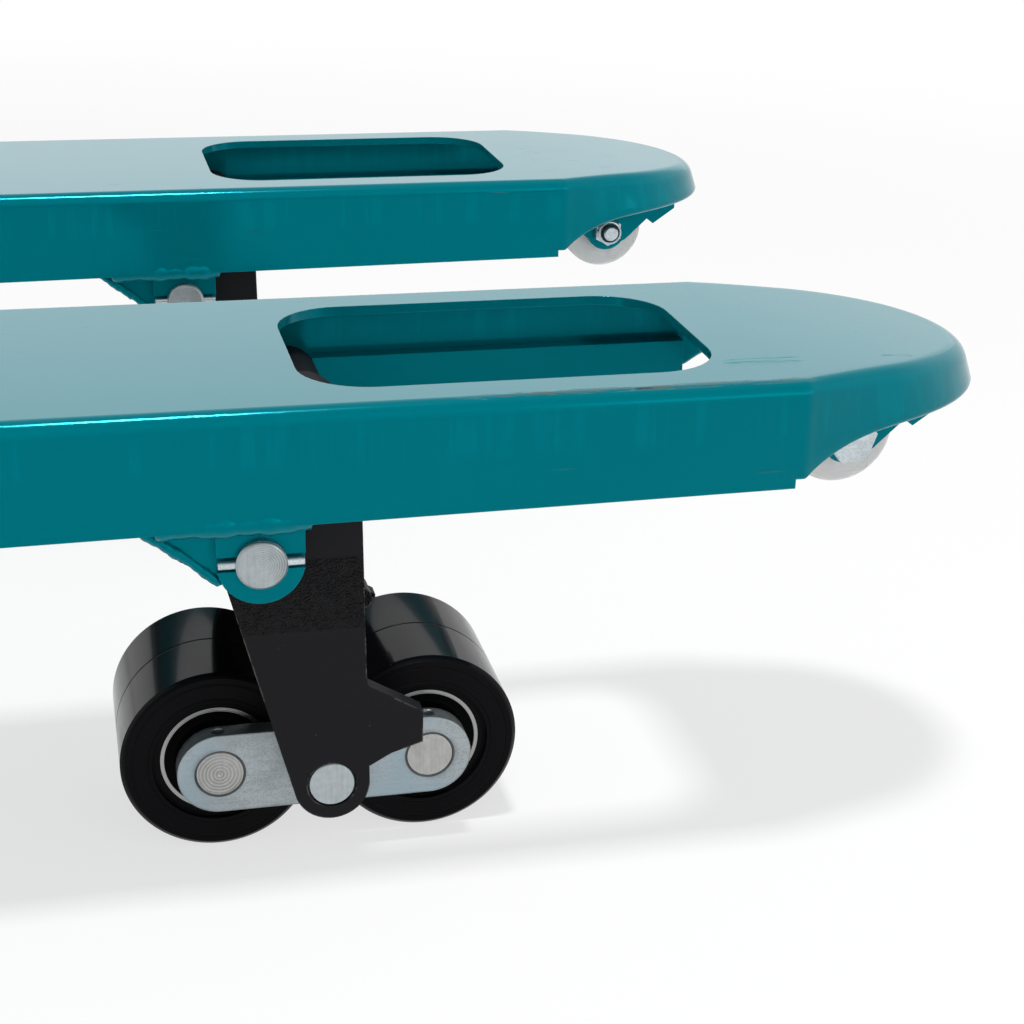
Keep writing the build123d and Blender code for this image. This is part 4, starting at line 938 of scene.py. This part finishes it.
class TRUCK_OT_stage(bpy.types.Operator):
    """White floor, soft lamps, pale surroundings and the camera"""

    bl_idname = "truck.stage"
    bl_label = "Stage"

    def execute(self, context):
        scene, settings = context.scene, context.scene.truck_stage
        scene.view_settings.view_transform = "Standard"
        self.add_floor(scene, settings)
        self.add_world(scene, settings)
        self.add_lamp("key", settings.key, place=(0.5, -0.42, 3.0), target=(0.5, -0.1, 0), size=(0.36, 0.36))
        self.add_lamp("front", settings.fill, place=(2.2, -2.6, 0.9), target=(0.5, 0, 0.18), size=(2.0, 1.0))
        self.add_lamp("screen", settings.screen, place=(1.3, 4.0, 1.5), target=(0.4, 0, 0.2), size=(5.0, 1.6))
        self.add_camera(scene, settings)
        return {"FINISHED"}

    @staticmethod
    def seen(nodes):
        """1 for rays from the camera, mirrors and glass, and 0 for those that carry light."""
        rays = [nodes.node("ShaderNodeLightPath", out=name)
                for name in ("Is Camera Ray", "Is Glossy Ray", "Is Transmission Ray")]
        return rays[0].most(rays[1]).most(rays[2])

    def add_floor(self, scene, settings):
        """Flat square floor; where it is seen, part of it is plain white, and far from the truck all."""
        reach = 40.0
        corner = np.array(((-1, -1, 0), (1, -1, 0), (1, 1, 0), (-1, 1, 0)), float) * reach
        mesh = bpy.data.meshes.new("floor")
        mesh.from_pydata(corner, [], [(0, 1, 2, 3)])
        finish = Finish("floor")
        finish.set(Base_Color=tuple(settings.floor), Roughness=0.9, Specular_IOR_Level=0.0)
        white = finish.node("ShaderNodeEmission", {}, {"Color": (1, 1, 1, 1), "Strength": 1.0})
        plain = Value(finish, finish.shader.outputs[0])
        x, y, _ = finish.axes()
        far = ((x * x + y * y) ** 0.5).rise(0.9, 2.4)
        seen = self.seen(finish) * (far * (1 - settings.glow) + settings.glow)
        blend = finish.node("ShaderNodeMixShader", {}, {0: seen, 1: plain, 2: white})
        finish.fill(finish.tree.nodes["Material Output"], {"Surface": blend})
        mesh.materials.append(finish.material)
        floor = bpy.data.objects.new("floor", mesh)
        scene.collection.objects.link(floor)

    def add_world(self, scene, settings):
        """Even light from all round; where it is seen, the walls are white up to a darker ceiling."""
        world = bpy.data.worlds.new("surroundings")
        world.use_nodes = True
        sky = Nodes(world.node_tree, "Generated")
        wall = sky.axes()[2].rise(0.85, 0.45)
        strength = self.seen(sky) * wall * (1 - settings.sky) + settings.sky
        sky.fill(sky.tree.nodes["Background"], {"Color": (1, 1, 1, 1), "Strength": strength})
        scene.world = world

    @staticmethod
    def add_lamp(name, power, place, target, size):
        """Rectangular lamp that faces a target."""
        lamp = bpy.data.lights.new(name, "AREA")
        lamp.shape, lamp.energy = "RECTANGLE", power
        lamp.size, lamp.size_y = size
        holder = bpy.data.objects.new(name, lamp)
        holder.location = place
        aim = Vector(target) - Vector(place)
        holder.rotation_euler = aim.to_track_quat("-Z", "Y").to_euler()
        bpy.context.scene.collection.objects.link(holder)

    @staticmethod
    def add_camera(scene, settings):
        """Camera turned, dipped and rolled from looking along +Y."""
        lens = bpy.data.cameras.new("camera")
        lens.lens, lens.sensor_width = settings.lens, 36.0
        lens.clip_start, lens.clip_end = 0.02, 60.0
        holder = bpy.data.objects.new("camera", lens)
        holder.matrix_world = (Matrix.Translation(settings.eye) @ Matrix.Rotation(-settings.turn, 4, "Z")
                               @ Matrix.Rotation(math.pi / 2 - settings.dip, 4, "X")
                               @ Matrix.Rotation(settings.roll, 4, "Z"))
        scene.collection.objects.link(holder)
        scene.camera = holder


class TRUCK_PT_panel(bpy.types.Panel):
    """Lists the truck's pieces"""

    bl_idname = "TRUCK_PT_panel"
    bl_label = "Pallet truck"
    bl_space_type = "VIEW_3D"
    bl_region_type = "UI"
    bl_category = "Truck"

    def draw(self, context):
        for operator in OPERATORS:
            self.layout.operator(operator.bl_idname)


GROUPS = {"truck_colours": TruckColours, "truck_sizes": TruckSizes, "truck_stage": StageSettings}
OPERATORS = (TRUCK_OT_solids, TRUCK_OT_noses, TRUCK_OT_entry_bolts, TRUCK_OT_welds, TRUCK_OT_pump_fittings,
             TRUCK_OT_handle_grips, TRUCK_OT_stage)
CLASSES = (*GROUPS.values(), *OPERATORS, TRUCK_PT_panel)


def register():
    for cls in CLASSES:
        bpy.utils.register_class(cls)
    for name, group in GROUPS.items():
        setattr(bpy.types.Scene, name, PointerProperty(type=group))


def unregister():
    for name in GROUPS:
        delattr(bpy.types.Scene, name)
    for cls in reversed(CLASSES):
        bpy.utils.unregister_class(cls)


def main():
    register()
    bpy.ops.truck.solids()
    bpy.ops.truck.noses()
    bpy.ops.truck.entry_bolts()
    bpy.ops.truck.welds()
    bpy.ops.truck.pump_fittings()
    bpy.ops.truck.handle_grips()
    bpy.ops.truck.stage()


if __name__ == "__main__":
    main()
